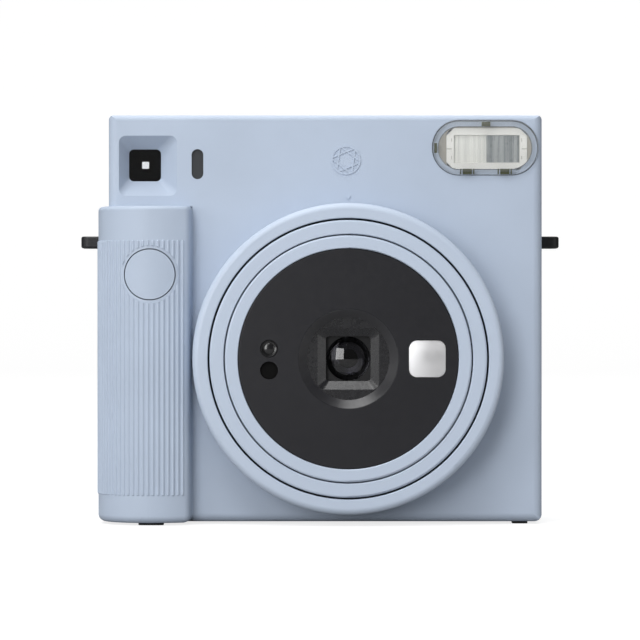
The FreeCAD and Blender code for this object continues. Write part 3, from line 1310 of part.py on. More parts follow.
def film_rollers():
    """The drive and pressure rollers with their shafts, timing gears and drive gear."""
    radius, shaft = d.roller_radius.value, d.shaft_radius.value
    drive_at = (d.drive_y.value, d.roller_z.value)
    press_at = (d.pressure_y.value, d.roller_z.value)
    # Seen along the shafts, local x is -Z and local y is +Y.
    drive_spot, press_spot = (-drive_at[1], drive_at[0]), (-press_at[1], press_at[0])
    drum = shaft_shape(radius, -30.0, 46.2)
    core = shaft_shape(shaft, -38.4, 58.9)
    sync = involute_gear(SYNC_TEETH, SYNC_MODULE, -38, -35.2, shaft)
    last = involute_gear(ROLLER_TEETH, d.gear_module.value, 55.5, 58.5, shaft)
    drive = along_x(core.fuse([drum, sync, last]), *drive_at)
    shape_piece(drive, "drive_roller")
    turn = mesh_turn(drive_spot, press_spot, 0.0, SYNC_TEETH, SYNC_TEETH)
    sync = involute_gear(SYNC_TEETH, SYNC_MODULE, -38, -35.2, shaft, turn)
    press = along_x(shaft_shape(shaft, -38.4, 51.6).fuse([drum, sync]), *press_at)
    shape_piece(press, "pressure_roller")
    reduction_at = (d.reduction_y.value, d.reduction_z.value)
    reduction_spot = (-reduction_at[1], reduction_at[0])
    small_turn = mesh_turn(drive_spot, reduction_spot, 0.0, ROLLER_TEETH, SMALL_TEETH)
    bore = REDUCTION_AXLE + d.running_gap.value
    small = involute_gear(SMALL_TEETH, d.gear_module.value, 54.9, 58.5, bore, small_turn)
    large = involute_gear(LARGE_TEETH, d.gear_module.value, 52, 55, bore)
    shape_piece(along_x(small.fuse(large), *reduction_at), "reduction_gear")
    motor_spot = (-d.motor_z.value, d.motor_y.value)
    pinion_turn = mesh_turn(reduction_spot, motor_spot, 0.0, LARGE_TEETH, PINION_TEETH)
    pinion = involute_gear(PINION_TEETH, d.gear_module.value, 52, 55, 0.5, pinion_turn)
    motor_shaft = shaft_shape(0.9, 48.9, 55.4)
    hub = shaft_shape(1.6, 51.4, 52.1)
    pinion = pinion.fuse([motor_shaft, hub])
    shape_piece(along_x(pinion, d.motor_y.value, d.motor_z.value), "motor_pinion")


def film_motor():
    """The film motor: a can with a front boss and two terminals."""
    y, z = d.motor_y, d.motor_z
    can = rod(MOTOR_RADIUS, (33.5, y, z), d.chamber_right - 33.5, "x", name="motor_can")
    cap = rod(3.0, (32.4, y, z), 1.4, "x", name="motor_cap")
    terminals = [box((31.2, y + step - 0.3, z - 1), (33.8, y + step + 0.3, z + 1)) for step in (-5, 5)]
    bore = rod(1.1, (47.5, y, z), 3, "x", name="bore")
    return piece(cut(fuse(can, cap, *terminals), bore, name="film_motor"), "film_motor")


def reduction_axle():
    return piece(rod(REDUCTION_AXLE, (49.4, d.reduction_y, d.reduction_z), 10.2, "x", name="reduction_axle"),
                 "reduction_axle")


CLAW_Y = (14.0, 18.0)


def film_claw():
    """The pusher that lifts a film out of the pack, outside the chamber's left wall."""
    outside = d.chamber_left - d.frame_wall
    plate = box((outside - 1.4, CLAW_Y[0] - 2, 10), (outside - 0.1, CLAW_Y[1] + 2, 34), name="claw_plate")
    finger = box((outside - 0.5, CLAW_Y[0], 10), (d.chamber_left + 1.2, CLAW_Y[1], 14), name="claw_finger")
    return piece(fuse(plate, finger, name="film_claw"), "film_claw")


def exit_parts():
    """The black trim round the film exit and the light flap under it."""
    left, right = d.lens_x - EXIT_HALF, d.lens_x + EXIT_HALF
    outer = rectangle(left - 0.8, right + 0.8, EXIT_FRONT - 0.8, EXIT_BACK + 0.8)
    inner = rectangle(left, right, EXIT_FRONT, EXIT_BACK)
    trim = slab("XY", d.body_top - d.wall - 0.6, d.body_top - 0.1, outer, inner, name="exit_slot_trim")
    piece(trim, "exit_slot_trim")
    leaf = box((left + 0.5, FLAP_Y, FLAP_Z - 0.3), (right - 0.5, EXIT_BACK - 0.2, FLAP_Z + 0.3),
               name="leaf")
    bead = rod(0.45, (left + 0.5, FLAP_Y, FLAP_Z), right - left - 1.0, "x", name="bead")
    piece(fuse(leaf, bead, name="exit_flap"), "exit_flap")


FLAP_Y = 5.75
FLAP_Z = 116.5


def film_door():
    """The film door with its knuckles, two windows and latch recess."""
    plate = slab("XZ", d.door_inner, d.door_outer, door_outline(0), name="door_plate")
    rim = plate.newObject("PartDesign::Fillet", fresh("door_round"))
    doc.recompute()
    base = plate.Group[-2]
    names = [f"Edge{i}" for i, edge in enumerate(base.Shape.Edges, start=1)
             if all(abs(v.Y - d.door_outer.value) < 1e-6 for v in edge.Vertexes)]
    rim.Base = (base, names)
    rim.Radius = 0.7
    parts = [plate]
    for low, high in DOOR_KNUCKLES:
        parts.append(rod(d.hinge_radius, (d.hinge_x, d.hinge_y, low), high - low, "z", name="knuckle"))
        parts.append(box((d.hinge_x, d.door_inner, low),
                         (d.door_left + 1, d.hinge_y + d.hinge_radius, high)))
    parts.append(rod(1.2, (COUNTER[0], 25.0, COUNTER[1]), d.door_inner - 25.0 + 0.3, name="counter_stub"))
    tools = [rod(d.hinge_pin + d.running_gap, (d.hinge_x, d.hinge_y, 0), 110, "z", name="bore")]
    tools.append(slab("XZ", 24, 30, centred(*FILM_WINDOW, 2.0), name="film_window_hole"))
    tools.append(slab("XZ", 26.2, 30, centred(*COUNTER_WINDOW, 1.0), name="counter_window_hole"))
    tools.append(slab("XZ", d.door_outer - 1.2, 30, rectangle(44.8, 53.2, 43.0, 64.0, 1.5)))
    tools.append(slab("XZ", 26, 30, rectangle(51.1, 52.5, 47.5, 61.5), name="hook_slot"))
    return piece(cut(fuse(*parts), *tools, name="film_door"), "film_door")


FILM_WINDOW = (size(-10.0), size(55.0), 9.0, 30.0)
COUNTER = (39.0, 16.0)
COUNTER_WINDOW = (size(39.0), size(21.2), 5.0, 4.0)


def door_fittings():
    """What rides on the film door: windows, light seal, pack springs and the latch slider."""
    outside = d.door_outer - 0.3
    window = slab("XZ", d.door_inner + 0.5, outside, centred(*FILM_WINDOW, 2.0), name="film_window")
    pane = slab("XZ", d.door_inner + 0.8, outside, centred(*COUNTER_WINDOW, 1.0), name="counter_pane")
    piece(group(window, pane, name="door_windows"), "door_windows")
    outer = rectangle(d.door_left + 0.6, d.door_right - 4.2, d.door_base + 0.4, d.door_top - 0.4, 1.0)
    inner = rectangle(d.door_left + 2.0, d.door_right - 6.0, d.door_base + 1.6, d.door_top - 1.4, 0.5)
    seal = slab("XZ", d.door_inner - 0.4, d.door_inner, outer, inner, name="door_light_seal")
    piece(seal, "door_light_seal")
    springs = []
    for x in (-24.0, 8.0):
        arch = [(d.door_inner, 30), (d.door_inner, 78), (25.9, 78), (22.6, 54, 20.0), (25.9, 30)]
        inside = [(26.6, 33), (26.6, 75), (26.0, 75), (23.1, 54, 20.0), (26.0, 33)]
        spring = cut(slab("YZ", x, x + 7, arch, name="spring_arch"),
                     slab("YZ", x - 1, x + 8, inside, name="spring_hollow"), name="pack_spring")
        springs.append(spring)
    piece(group(*springs, name="film_pack_springs"), "film_pack_springs")
    latch = slab("XZ", d.door_outer - 1.15, d.door_outer - 0.1, rectangle(45.3, 52.7, 46.0, 57.0, 1.2))
    ridges = [box((46.2, d.door_outer - 0.3, z), (51.0, d.door_outer, z + 0.7)) for z in range(48, 56, 2)]
    hook = box((51.4, 23.6, 51.0), (52.2, d.door_outer - 0.8, 55.0), name="hook")
    piece(fuse(latch, *ridges, hook, name="door_latch"), "door_latch")
    disc = rod(8.0, (COUNTER[0], 25.2, COUNTER[1]), 1.1, name="counter_disc")
    ticks = [rod(0.25, (COUNTER[0] + 6.6 * math.sin(k * math.pi / 6), 26.2,
                        COUNTER[1] + 6.6 * math.cos(k * math.pi / 6)), 0.2, name="tick") for k in range(11)]
    bore = rod(1.2 + d.running_gap, (COUNTER[0], 24, COUNTER[1]), 4, name="bore")
    piece(cut(fuse(disc, *ticks), bore, name="counter_dial"), "counter_dial")


def hinge_pins():
    """The two steel hinge pins, of the film door and of the battery door."""
    long_pin = rod(d.hinge_pin, (d.hinge_x, d.hinge_y, d.door_base), d.door_top - d.door_base, "z")
    short_pin = rod(LID_PIN, (d.lid_hinge_x, d.lid_hinge_y, d.lid_low), d.lid_high - d.lid_low, "z")
    piece(group(long_pin, short_pin, name="hinge_pins"), "hinge_pins")


# ---------------------------------------------------------------- power and button

def battery_parts():
    """The battery box, two cells and their contacts."""
    left, right, front, back, low, high = -63.0, -45.0, -6.7, 11.7, 9.8, 68.2
    case = box((left, front, low), (right, back, high), name="battery_case")
    inside = box((left - 1, front + 1.2, low + 1.2), (right - 1.2, back - 1.2, high - 1.2))
    tabs = [box((right - 0.5, 4, z), (d.chamber_left - d.frame_wall, 10, z + 4)) for z in (14, 58)]
    piece(cut(fuse(case, *tabs), inside, name="battery_box"), "battery_box")
    x, y = d.cell_x, d.cell_y
    low_start = low + 1.2 + 0.6
    cells = []
    for start in (low_start, low_start + 27.6):
        can = rod(d.cell_radius, (x, y, start), d.cell_length - 1.0, "z", name="cell_can")
        cap = rod(3.0, (x, y, d.cell_length + start - 1.0), 1.0, "z", name="cell_cap")
        cells.append(fuse(can, cap, name="cell"))
    piece(group(*cells, name="battery_cells"), "battery_cells")
    plates = [box((x - 5, y - 5, low + 1.2), (x + 5, y + 5, low + 1.8)),
              box((x - 5, y - 5, low_start + 54.6), (x + 5, y + 5, high - 1.2)),
              rod(3.5, (x, y, low_start + d.cell_length), 0.6, "z")]
    piece(group(*plates, name="battery_contacts"), "battery_contacts")


def button_parts():
    """The switch behind the shutter button and the two folded leaf springs that push the button out."""
    x, z = d.button_x, d.button_z
    switch_front = -11.5
    body = box((x - 4, switch_front, z - 3.5), (x + 4, -7.5, z + 3.5), name="switch_body")
    foot = box((x - 4, -7.7, 68.2), (x + 4, -6.0, z + 3.5), name="switch_foot")
    ledge = box((x - 4, -6.2, 68.2), (x + 4, -2.0, 69.2), name="switch_ledge")
    plunger = rod(1.5, (x, switch_front - 0.4, z), 0.6, name="plunger")
    piece(fuse(body, foot, ledge, plunger, name="shutter_switch"), "shutter_switch")
    back, tip = switch_front, -17.85
    leaf = [(back, z - 3.2), (back, z + 3.4, 0.3), (tip, z - 1.9), (tip, z - 2.3), (back - 0.25, z + 2.8, 0.1),
            (back - 0.25, z - 3.2)]
    leaves = [slab("YZ", x + step - 0.65, x + step + 0.65, leaf, name="leaf_spring")
              for step in (-3.25, 3.25)]
    piece(group(*leaves, name="shutter_button_spring"), "shutter_button_spring")


# ---------------------------------------------------------------- assembly

def build():
    outer = casing_block(size(0), "casing_outside")
    hollow = casing_block(d.wall, "casing_inside")
    lip = casing_block(size(1.15), "casing_lip")
    front_cover(outer, hollow, lip)
    rear_cover(outer, hollow, lip)
    block = grip_block()
    grip_cover(block)
    shutter_button(block)
    battery_door()
    base_feet()
    strap_lug(-1, "strap_lug_left")
    strap_lug(1, "strap_lug_right")
    lens_dial()
    cam_sleeve()
    outer_barrel()
    barrel_pins(OUTER_PIN_ANGLES, 38.9, d.outer_pin_y, "outer_barrel_pins")
    inner_barrel()
    barrel_pins(INNER_PIN_ANGLES, 36.0, d.inner_pin_y, "inner_barrel_pins")
    lens_guide_rails()
    front_panel()
    lens_hood()
    selfie_mirror()
    light_sensors()
    lens_element(d.glass_radius, HOOD_BACK, -20.2, 1.3, "front_lens")
    lens_element(size(5.5), -19.0, -17.0, 0.5, "rear_lens")
    lens_cell()
    shutter_plate()
    shutter_blade(-1, -14.5, "shutter_blade_left")
    shutter_blade(1, -13.9, "shutter_blade_right")
    shutter_solenoid()
    viewfinder()
    sensor_window()
    flash_window()
    flash_reflector()
    flash_tube()
    flash_capacitor()
    main_circuit_board()
    main_frame()
    case_screws()
    roller_bushes()
    film_rollers()
    film_motor()
    reduction_axle()
    film_claw()
    exit_parts()
    film_door()
    door_fittings()
    hinge_pins()
    battery_parts()
    button_parts()


def save():
    """Checks every object and writes one file for each sub-part."""
    doc.recompute()
    broken = [o.Name for o in doc.Objects if "Invalid" in o.State or "Error" in o.State]
    for item in pieces:
        if item.Shape.isNull() or not item.Shape.isValid() or item.Shape.Volume <= 0:
            broken.append(item.Label)
    if broken:
        raise RuntimeError("these objects failed: " + ", ".join(broken))
    for item in pieces:
        item.Shape.exportStep(f"parts/{item.Label}.step")
        print(f"{item.Label:24s} {item.Shape.Volume:10.1f} mm3, {len(item.Shape.Solids)} solid(s)")


build()
save()
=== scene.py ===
import math

import bmesh
import bpy
from mathutils import Matrix, Vector


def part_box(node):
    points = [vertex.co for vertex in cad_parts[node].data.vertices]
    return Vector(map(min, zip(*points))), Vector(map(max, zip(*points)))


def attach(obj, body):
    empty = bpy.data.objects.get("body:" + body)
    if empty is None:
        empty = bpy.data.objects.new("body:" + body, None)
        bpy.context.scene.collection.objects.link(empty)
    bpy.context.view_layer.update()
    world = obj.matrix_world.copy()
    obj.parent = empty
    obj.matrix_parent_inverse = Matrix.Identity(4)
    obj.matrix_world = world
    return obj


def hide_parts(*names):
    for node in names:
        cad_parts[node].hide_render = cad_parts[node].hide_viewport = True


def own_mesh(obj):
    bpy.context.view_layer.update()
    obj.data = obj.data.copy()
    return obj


# Looks of the square-format instant camera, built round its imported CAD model. Metres throughout.

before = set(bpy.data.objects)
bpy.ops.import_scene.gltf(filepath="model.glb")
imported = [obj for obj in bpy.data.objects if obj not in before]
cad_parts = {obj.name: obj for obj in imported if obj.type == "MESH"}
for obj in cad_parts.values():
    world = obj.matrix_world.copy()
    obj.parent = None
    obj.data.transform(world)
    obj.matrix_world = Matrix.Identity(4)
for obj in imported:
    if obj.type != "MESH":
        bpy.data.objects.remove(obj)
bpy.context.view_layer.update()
scene = bpy.context.scene
MM = 0.001


# ---------------------------------------------------------------- materials

def new_material(name, colour, rough, metallic=0.0, specular=0.5, coat=0.0, coat_rough=0.1, ior=None):
    """A principled material; what is uniform goes straight on the shader's sockets."""
    material = bpy.data.materials.new(name)
    material.use_nodes = True
    shader = material.node_tree.nodes["Principled BSDF"]
    shader.inputs["Base Color"].default_value = (*colour, 1)
    shader.inputs["Roughness"].default_value = rough
    shader.inputs["Metallic"].default_value = metallic
    shader.inputs["Specular IOR Level"].default_value = specular
    shader.inputs["Coat Weight"].default_value = coat
    shader.inputs["Coat Roughness"].default_value = coat_rough
    if ior is not None:
        shader.inputs["IOR"].default_value = ior
    return material


def add_node(material, kind, **values):
    """Adds a node and sets its inputs by name."""
    node = material.node_tree.nodes.new(kind)
    for key, value in values.items():
        node.inputs[key.replace("_", " ")].default_value = value
    return node


def link(material, out, into):
    material.node_tree.links.new(out, into)


def shader_of(material):
    return material.node_tree.nodes["Principled BSDF"]


def texture_space(material):
    """Object coordinates, which on a CAD node are its place in the row frame."""
    return add_node(material, "ShaderNodeTexCoord").outputs["Object"]


def noise(material, scale, detail=2.0, rough=0.5, stretch=None):
    """A noise texture's value over the object's own space."""
    node = add_node(material, "ShaderNodeTexNoise", Scale=scale, Detail=detail, Roughness=rough)
    place = texture_space(material)
    if stretch:
        mapping = add_node(material, "ShaderNodeMapping", Scale=stretch)
        link(material, place, mapping.inputs["Vector"])
        place = mapping.outputs["Vector"]
    link(material, place, node.inputs["Vector"])
    return node.outputs["Fac"]


def spread(material, fac, low, high, start=0.35, end=0.65):
    """Maps a texture value to a range."""
    node = add_node(material, "ShaderNodeMapRange")
    for key, value in (("From Min", start), ("From Max", end), ("To Min", low), ("To Max", high)):
        node.inputs[key].default_value = value
    link(material, fac, node.inputs["Value"])
    return node.outputs["Result"]


def vary_roughness(material, fac, low, high):
    link(material, spread(material, fac, low, high), shader_of(material).inputs["Roughness"])


def vary_colour(material, fac, first, second, start=0.3, end=0.7):
    """Mixes two near colours by a texture value."""
    ramp = add_node(material, "ShaderNodeValToRGB")
    ramp.color_ramp.elements[0].position = start
    ramp.color_ramp.elements[0].color = (*first, 1)
    ramp.color_ramp.elements[1].position = end
    ramp.color_ramp.elements[1].color = (*second, 1)
    link(material, fac, ramp.inputs["Fac"])
    link(material, ramp.outputs["Color"], shader_of(material).inputs["Base Color"])


def add_bump(material, fac, strength, distance):
    """Raises the surface by a texture value; a second call adds to the first."""
    bump = add_node(material, "ShaderNodeBump", Strength=strength, Distance=distance)
    link(material, fac, bump.inputs["Height"])
    socket = shader_of(material).inputs["Normal"]
    if socket.links:
        link(material, socket.links[0].from_socket, bump.inputs["Normal"])
    link(material, bump.outputs["Normal"], socket)


def scaled(colour, factor):
    return tuple(channel * factor for channel in colour)


def moulded(name, colour, rough=0.5, grain=0.00006, specular=0.35, mottle=0.03):
    """Spark-textured moulded plastic: fine grain, slight cloudiness, roughness that varies a little."""
    material = new_material(name, colour, rough, specular=specular)
    vary_colour(material, noise(material, 45, 3), scaled(colour, 1 - mottle), scaled(colour, 1 + mottle))
    vary_roughness(material, noise(material, 900, 3), rough - 0.03, rough + 0.03)
    add_bump(material, noise(material, 2600, 2), 0.3, grain)
    add_bump(material, noise(material, 90, 2), 0.25, 0.00008)
    return material


def gloss(name, colour, rough, coat=0.4, mottle=0.04):
    """Smooth lacquered or polished plastic with the faintest orange peel."""
    material = new_material(name, colour, rough, coat=coat, coat_rough=0.06)
    vary_colour(material, noise(material, 60, 2), scaled(colour, 1 - mottle), scaled(colour, 1 + mottle))
    add_bump(material, noise(material, 500, 2), 0.15, 0.00002)
    return material


def metal(name, colour, rough, stretch=(40, 40, 1200)):
    """Metal with fine brushed lines."""
    material = new_material(name, colour, rough, metallic=1.0)
    lines = noise(material, 1.0, 3, stretch=stretch)
    vary_colour(material, lines, scaled(colour, 0.9), scaled(colour, 1.06))
    vary_roughness(material, lines, rough - 0.08, rough + 0.08)
    add_bump(material, lines, 0.2, 0.00002)
    return material


def rubber(name, colour, rough=0.75):
    material = new_material(name, colour, rough, specular=0.25)
    vary_colour(material, noise(material, 300, 3), scaled(colour, 0.85), scaled(colour, 1.15))
    vary_roughness(material, noise(material, 700, 2), rough - 0.1, rough + 0.1)
    add_bump(material, noise(material, 1800, 3), 0.4, 0.00006)
    return material


def streaked(name, dark, light, rough):
    """Ribbed reflector plastic with fine upright streaks of painted light and shade, like its ridges give."""
    material = new_material(name, light, rough)
    vary_colour(material, noise(material, 1.0, 3, stretch=(900, 1, 30)), dark, light, start=0.4, end=0.6)
    vary_roughness(material, noise(material, 500, 2), rough - 0.05, rough + 0.05)
    return material


def thin_clear(name, colour, rough, facing, edge):
    """Clear plastic a millimetre or two thick: see-through ahead, glossy at a glancing angle."""
    material = new_material(name, colour, rough, specular=1.0)
    rim = add_node(material, "ShaderNodeLayerWeight", Blend=0.3)
    link(material, spread(material, rim.outputs["Fresnel"], facing, edge, 0.0, 1.0),
         shader_of(material).inputs["Alpha"])
    add_bump(material, noise(material, 160, 1), 0.08, 0.00003)
    return material


def glass(name, colour, rough=0.02, ior=1.49):
    """Clear moulded plastic or glass, with a very slight waviness."""
    material = new_material(name, colour, rough, ior=ior)
    shader_of(material).inputs["Transmission Weight"].default_value = 1.0
    add_bump(material, noise(material, 160, 1), 0.08, 0.00003)
    vary_roughness(material, noise(material, 400, 2), rough, rough + 0.03)
    return material


BLUE = (0.406, 0.472, 0.576)
body = moulded("body_plastic", BLUE, 0.5)
satin = moulded("satin_plastic", (0.445, 0.513, 0.62), 0.42, grain=0.00002, mottle=0.015)
black = moulded("black_plastic", (0.012, 0.012, 0.014), 0.42, grain=0.00003, mottle=0.1)
panel = moulded("panel_plastic", (0.014, 0.014, 0.017), 0.32, grain=0.000015, mottle=0.06)
chassis = moulded("chassis_plastic", (0.022, 0.022, 0.025), 0.5, mottle=0.12)
hood = moulded("hood_plastic", (0.008, 0.008, 0.010), 0.27, grain=0.000002, specular=0.65, mottle=0.05)
cone_black = moulded("cone_plastic", (0.012, 0.012, 0.015), 0.36, grain=0.000003, specular=1.0, mottle=0.05)
dark_matte = moulded("baffle_plastic", (0.006, 0.006, 0.007), 0.5, grain=0.00001, mottle=0.1)
white = gloss("reflector_white", (0.86, 0.85, 0.80), 0.3)
acetal = moulded("acetal", (0.72, 0.70, 0.64), 0.42, mottle=0.02)
ivory = moulded("dial_ivory", (0.76, 0.76, 0.72), 0.45, mottle=0.02)
steel = metal("steel", (0.56, 0.56, 0.57), 0.3)
brass = metal("brass", (0.78, 0.58, 0.26), 0.3)
silver = metal("mirror_silver", (0.96, 0.96, 0.975), 0.40, stretch=(60, 60, 60))
tyre = rubber("roller_rubber", (0.028, 0.028, 0.030))
foam = rubber("foam", (0.012, 0.012, 0.012), 0.9)
board = gloss("circuit_board", (0.012, 0.085, 0.04), 0.35)
sleeve = gloss("cell_sleeve", (0.07, 0.09, 0.13), 0.28)
capacitor = gloss("capacitor_sleeve", (0.02, 0.02, 0.03), 0.3)
clear = glass("clear_plastic", (0.985, 0.99, 0.995))
optical = glass("optical_glass", (0.96, 0.975, 0.99), rough=0.015, ior=1.6)
# The front element's glass is tinted dark grey: painted shade, which makes the lens read black as its dark
# inside would, while its surface gloss stays.
lens_painted_shade_glass = glass("lens_glass_painted_shade", (0.165, 0.165, 0.185), rough=0.015, ior=1.6)
nickel = metal("ring_nickel", (0.42, 0.42, 0.44), 0.3, stretch=(300, 300, 300))
polished_black = gloss("polished_black", (0.008, 0.008, 0.009), 0.18)
deep_black = moulded("deep_black", (0.002, 0.002, 0.002), 0.7, specular=0.1, mottle=0.2)
tunnel_black = moulded("tunnel_black", (0.004, 0.004, 0.005), 0.24, specular=0.5, mottle=0.2)
blackened = moulded("blackened_steel", (0.004, 0.004, 0.005), 0.55, grain=0.00001, specular=0.2)
pale_rim = moulded("flash_rim_plastic", (0.60, 0.68, 0.80), 0.4, mottle=0.02)
# A dark blue-grey for painted shade along the flash window's edges.
rim_painted_shade = moulded("flash_rim_shadow", (0.09, 0.105, 0.13), 0.5, mottle=0.05)
window = thin_clear("flash_window_plastic", (0.90, 0.93, 0.95), 0.06, 0.05, 0.75)
warm_grey = moulded("flash_housing_grey", (0.34, 0.32, 0.27), 0.45, mottle=0.04)
pearl = streaked("flash_pearl", (0.70, 0.70, 0.66), (0.82, 0.82, 0.77), 0.35)
# The right half's reflector is a darker copy of the pearl: painted shade for the half whose ridges turn away
# from the light.
pearl_painted_shade = streaked("flash_pearl_painted_shade", (0.20, 0.225, 0.23), (0.42, 0.44, 0.44), 0.3)
olive = gloss("clip_olive", (0.055, 0.062, 0.028), 0.3)
smoked = gloss("smoked_window", (0.05, 0.052, 0.056), 0.12, coat=0.6)

USES = {
    body: ("front_cover", "rear_cover", "grip_cover", "battery_door", "film_door", "shutter_button"),
    satin: ("lens_dial", "outer_barrel", "inner_barrel"),
    black: ("strap_lug_left", "strap_lug_right", "exit_slot_trim", "exit_flap", "viewfinder_eyepiece",
            "door_latch", "cam_sleeve"),
    panel: ("front_panel",),
    hood: ("lens_hood",),
    dark_matte: ("light_sensors", "lens_cell", "shutter_plate"),
    tunnel_black: ("viewfinder_tunnel",),
    blackened: ("shutter_blade_left", "shutter_blade_right"),
    chassis: ("main_frame", "lens_guide_rails", "battery_box", "shutter_switch"),
    white: ("flash_reflector",),
    acetal: ("reduction_gear", "roller_bushes"),
    ivory: ("counter_dial",),
    steel: ("outer_barrel_pins", "inner_barrel_pins", "case_screws", "hinge_pins", "reduction_axle",
            "film_motor", "film_claw", "film_pack_springs", "shutter_button_spring"),
    brass: ("motor_pinion", "battery_contacts", "shutter_solenoid"),
    silver: ("selfie_mirror",),
    tyre: ("base_feet", "drive_roller", "pressure_roller"),
    foam: ("door_light_seal",),
    board: ("main_circuit_board",),
    sleeve: ("battery_cells",),
    capacitor: ("flash_capacitor",),
    window: ("flash_window",),
    clear: ("door_windows", "flash_tube"),
    optical: ("front_lens", "rear_lens", "viewfinder_front_lens"),
    smoked: ("sensor_window",),
}
for material, names in USES.items():
    for name in names:
        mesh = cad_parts[name].data
        mesh.materials.clear()
        mesh.materials.append(material)


# ---------------------------------------------------------------- mesh helpers

def finish_mesh(name, mesh, material, body_name, smooth_angle=35):
    """Names, shades and paints a mesh, and makes it ride on its body."""
    piece = bpy.data.objects.new(name, mesh)
    scene.collection.objects.link(piece)
    mesh.materials.append(material)
    mesh.shade_smooth()
    mesh.set_sharp_from_angle(angle=math.radians(smooth_angle))
    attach(piece, body_name)
    return piece


def mesh_from(bm, name, recalculate=True):
    """Makes a mesh of a bmesh, with its normals facing out, and frees the bmesh."""
    if recalculate:
        bmesh.ops.recalc_face_normals(bm, faces=bm.faces)
    mesh = bpy.data.meshes.new(name)
    bm.to_mesh(mesh)
    bm.free()
    return mesh


def skin(bm, first, second):
    """A band of faces between two closed loops with the same number of points."""
    for k in range(len(first)):
        after = (k + 1) % len(first)
        bm.faces.new((first[k], second[k], second[after], first[after]))


def add_bevel(piece, width, segments=2):
    """Rounds a piece's sharp edges."""
    bevel = piece.modifiers.new("Bevel", "BEVEL")
    bevel.width = width
    bevel.segments = segments
    bevel.limit_method = "ANGLE"
    bevel.angle_limit = math.radians(40)
    return piece


def lathe(name, profile, x, z, material, body_name, steps=96, closed=True, smooth_angle=35):
    """Turns (radius, y) points about an axis along Y; a radius of 0 closes to a single point."""
    bm = bmesh.new()
    rings = []
    for radius, y in profile:
        if radius < 1e-7:
            rings.append([bm.verts.new((x, y, z))])
        else:
            turns = [2 * math.pi * k / steps for k in range(steps)]
            rings.append([bm.verts.new((x + radius * math.sin(turn), y, z + radius * math.cos(turn)))
                          for turn in turns])
    pairs = list(zip(rings, rings[1:]))
    if closed and len(rings[0]) > 1:
        pairs.append((rings[-1], rings[0]))
    for first, second in pairs:
        if len(first) == len(second):
            skin(bm, first, second)
            continue
        for k in range(steps):
            after = (k + 1) % steps
            if len(first) == 1:
                bm.faces.new((first[0], second[k], second[after]))
            else:
                bm.faces.new((first[k], second[0], first[after]))
    return finish_mesh(name, mesh_from(bm, name), material, body_name, smooth_angle)


def rounded_rect(x, z, width, height, radius, steps=8):
    """Points of a rounded rectangle in the XZ plane, anticlockwise from the right."""
    points = []
    corners = ((1, 1, 0), (-1, 1, 90), (-1, -1, 180), (1, -1, 270))
    for side_x, side_z, start in corners:
        centre_x = x + side_x * (width / 2 - radius)
        centre_z = z + side_z * (height / 2 - radius)
        for k in range(steps + 1):
            angle = math.radians(start + 90 * k / steps)
            points.append((centre_x + radius * math.cos(angle), centre_z + radius * math.sin(angle)))
    return points


def loft(name, sections, material, body_name, cap_first=False, cap_last=False, wrap=False,
         smooth_angle=35):
    """Joins outlines with the same number of points, each at its own depth; wrap closes a ring."""
    bm = bmesh.new()
    rings = [[bm.verts.new((x, y, z)) for x, z in outline] for y, outline in sections]
    pairs = list(zip(rings, rings[1:]))
    if wrap:
        pairs.append((rings[-1], rings[0]))
    for first, second in pairs:
        skin(bm, first, second)
    if cap_first:
        bm.faces.new(rings[0])
    if cap_last:
        bm.faces.new(rings[-1][::-1])
    return finish_mesh(name, mesh_from(bm, name), material, body_name, smooth_angle)


def blocks(name, boxes, material, body_name, bevel=0.0002):
    """Several rounded blocks as one piece, each given by its low and high corners."""
    bm = bmesh.new()
    for low, high in boxes:
        centre = [(a + b) / 2 for a, b in zip(low, high)]
        size = [b - a for a, b in zip(low, high)]
        bmesh.ops.create_cube(bm, size=1, matrix=Matrix.Translation(centre) @ Matrix.Diagonal((*size, 1)))
    mesh = mesh_from(bm, name, recalculate=False)
    return add_bevel(finish_mesh(name, mesh, material, body_name), bevel)


def middle(node):
    low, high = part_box(node)
    return (low + high) / 2


# ---------------------------------------------------------------- lens

panel_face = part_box("front_panel")[0].y
lens_x, lens_z = middle("front_panel").x, middle("front_panel").z


def arc_profile(radius, depth, bulge, count=14):
    """Points of a shallow dome from its centre, at depth - bulge, out to its rim, at depth."""
    ball = (radius ** 2 + bulge ** 2) / (2 * abs(bulge))
    points = []
    for k in range(count + 1):
        r = radius * k / count
        rise = math.sqrt(ball ** 2 - r ** 2) - (ball - abs(bulge))
        points.append((r, depth - math.copysign(rise, bulge)))
    return points


# Radius and depth behind the panel's face, in millimetres.
CONE_RING = ((14.36, 0.07), (11.97, 2.165), (12.3, 2.4), (14.7, 0.3))
lathe("lens_cone_ring", [(r * MM, panel_face + y * MM) for r, y in CONE_RING], lens_x, lens_z, cone_black,
      "inner_stage")

LENS_RADIUS = 6.4 * MM
LENS_EDGE = 0.8 * MM
LENS_CLEARANCE = 0.1 * MM
FRONT_BULGE = 1.8 * MM
BACK_BULGE = 0.9 * MM
BACK_SHARE = 0.86
lens_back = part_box("front_lens")[1].y
front_side = arc_profile(LENS_RADIUS, lens_back - LENS_EDGE, FRONT_BULGE)
back_side = arc_profile(LENS_RADIUS * BACK_SHARE, lens_back - LENS_CLEARANCE, BACK_BULGE)
glass_profile = front_side + [(LENS_RADIUS, lens_back - LENS_CLEARANCE)] + back_side[::-1]
# The front element wears the dark-tinted glass, whose tint is painted shade.
element = lathe("lens_front_element", glass_profile, lens_x, lens_z, lens_painted_shade_glass, "inner_stage",
                closed=False, smooth_angle=50)
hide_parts("front_lens")

# Radius and depth behind the front element, in millimetres.
RING_STEPS = ((4.5, 0.15), (4.25, 0.15), (3.55, 0.5), (3.55, 0.62), (3.4, 0.62), (2.6, 1.0), (2.6, 1.15),
              (4.5, 1.15))
lathe("lens_retaining_steps", [(r * MM, lens_back + y * MM) for r, y in RING_STEPS], lens_x, lens_z,
      nickel, "inner_stage", smooth_angle=20)


# ---------------------------------------------------------------- light sensors

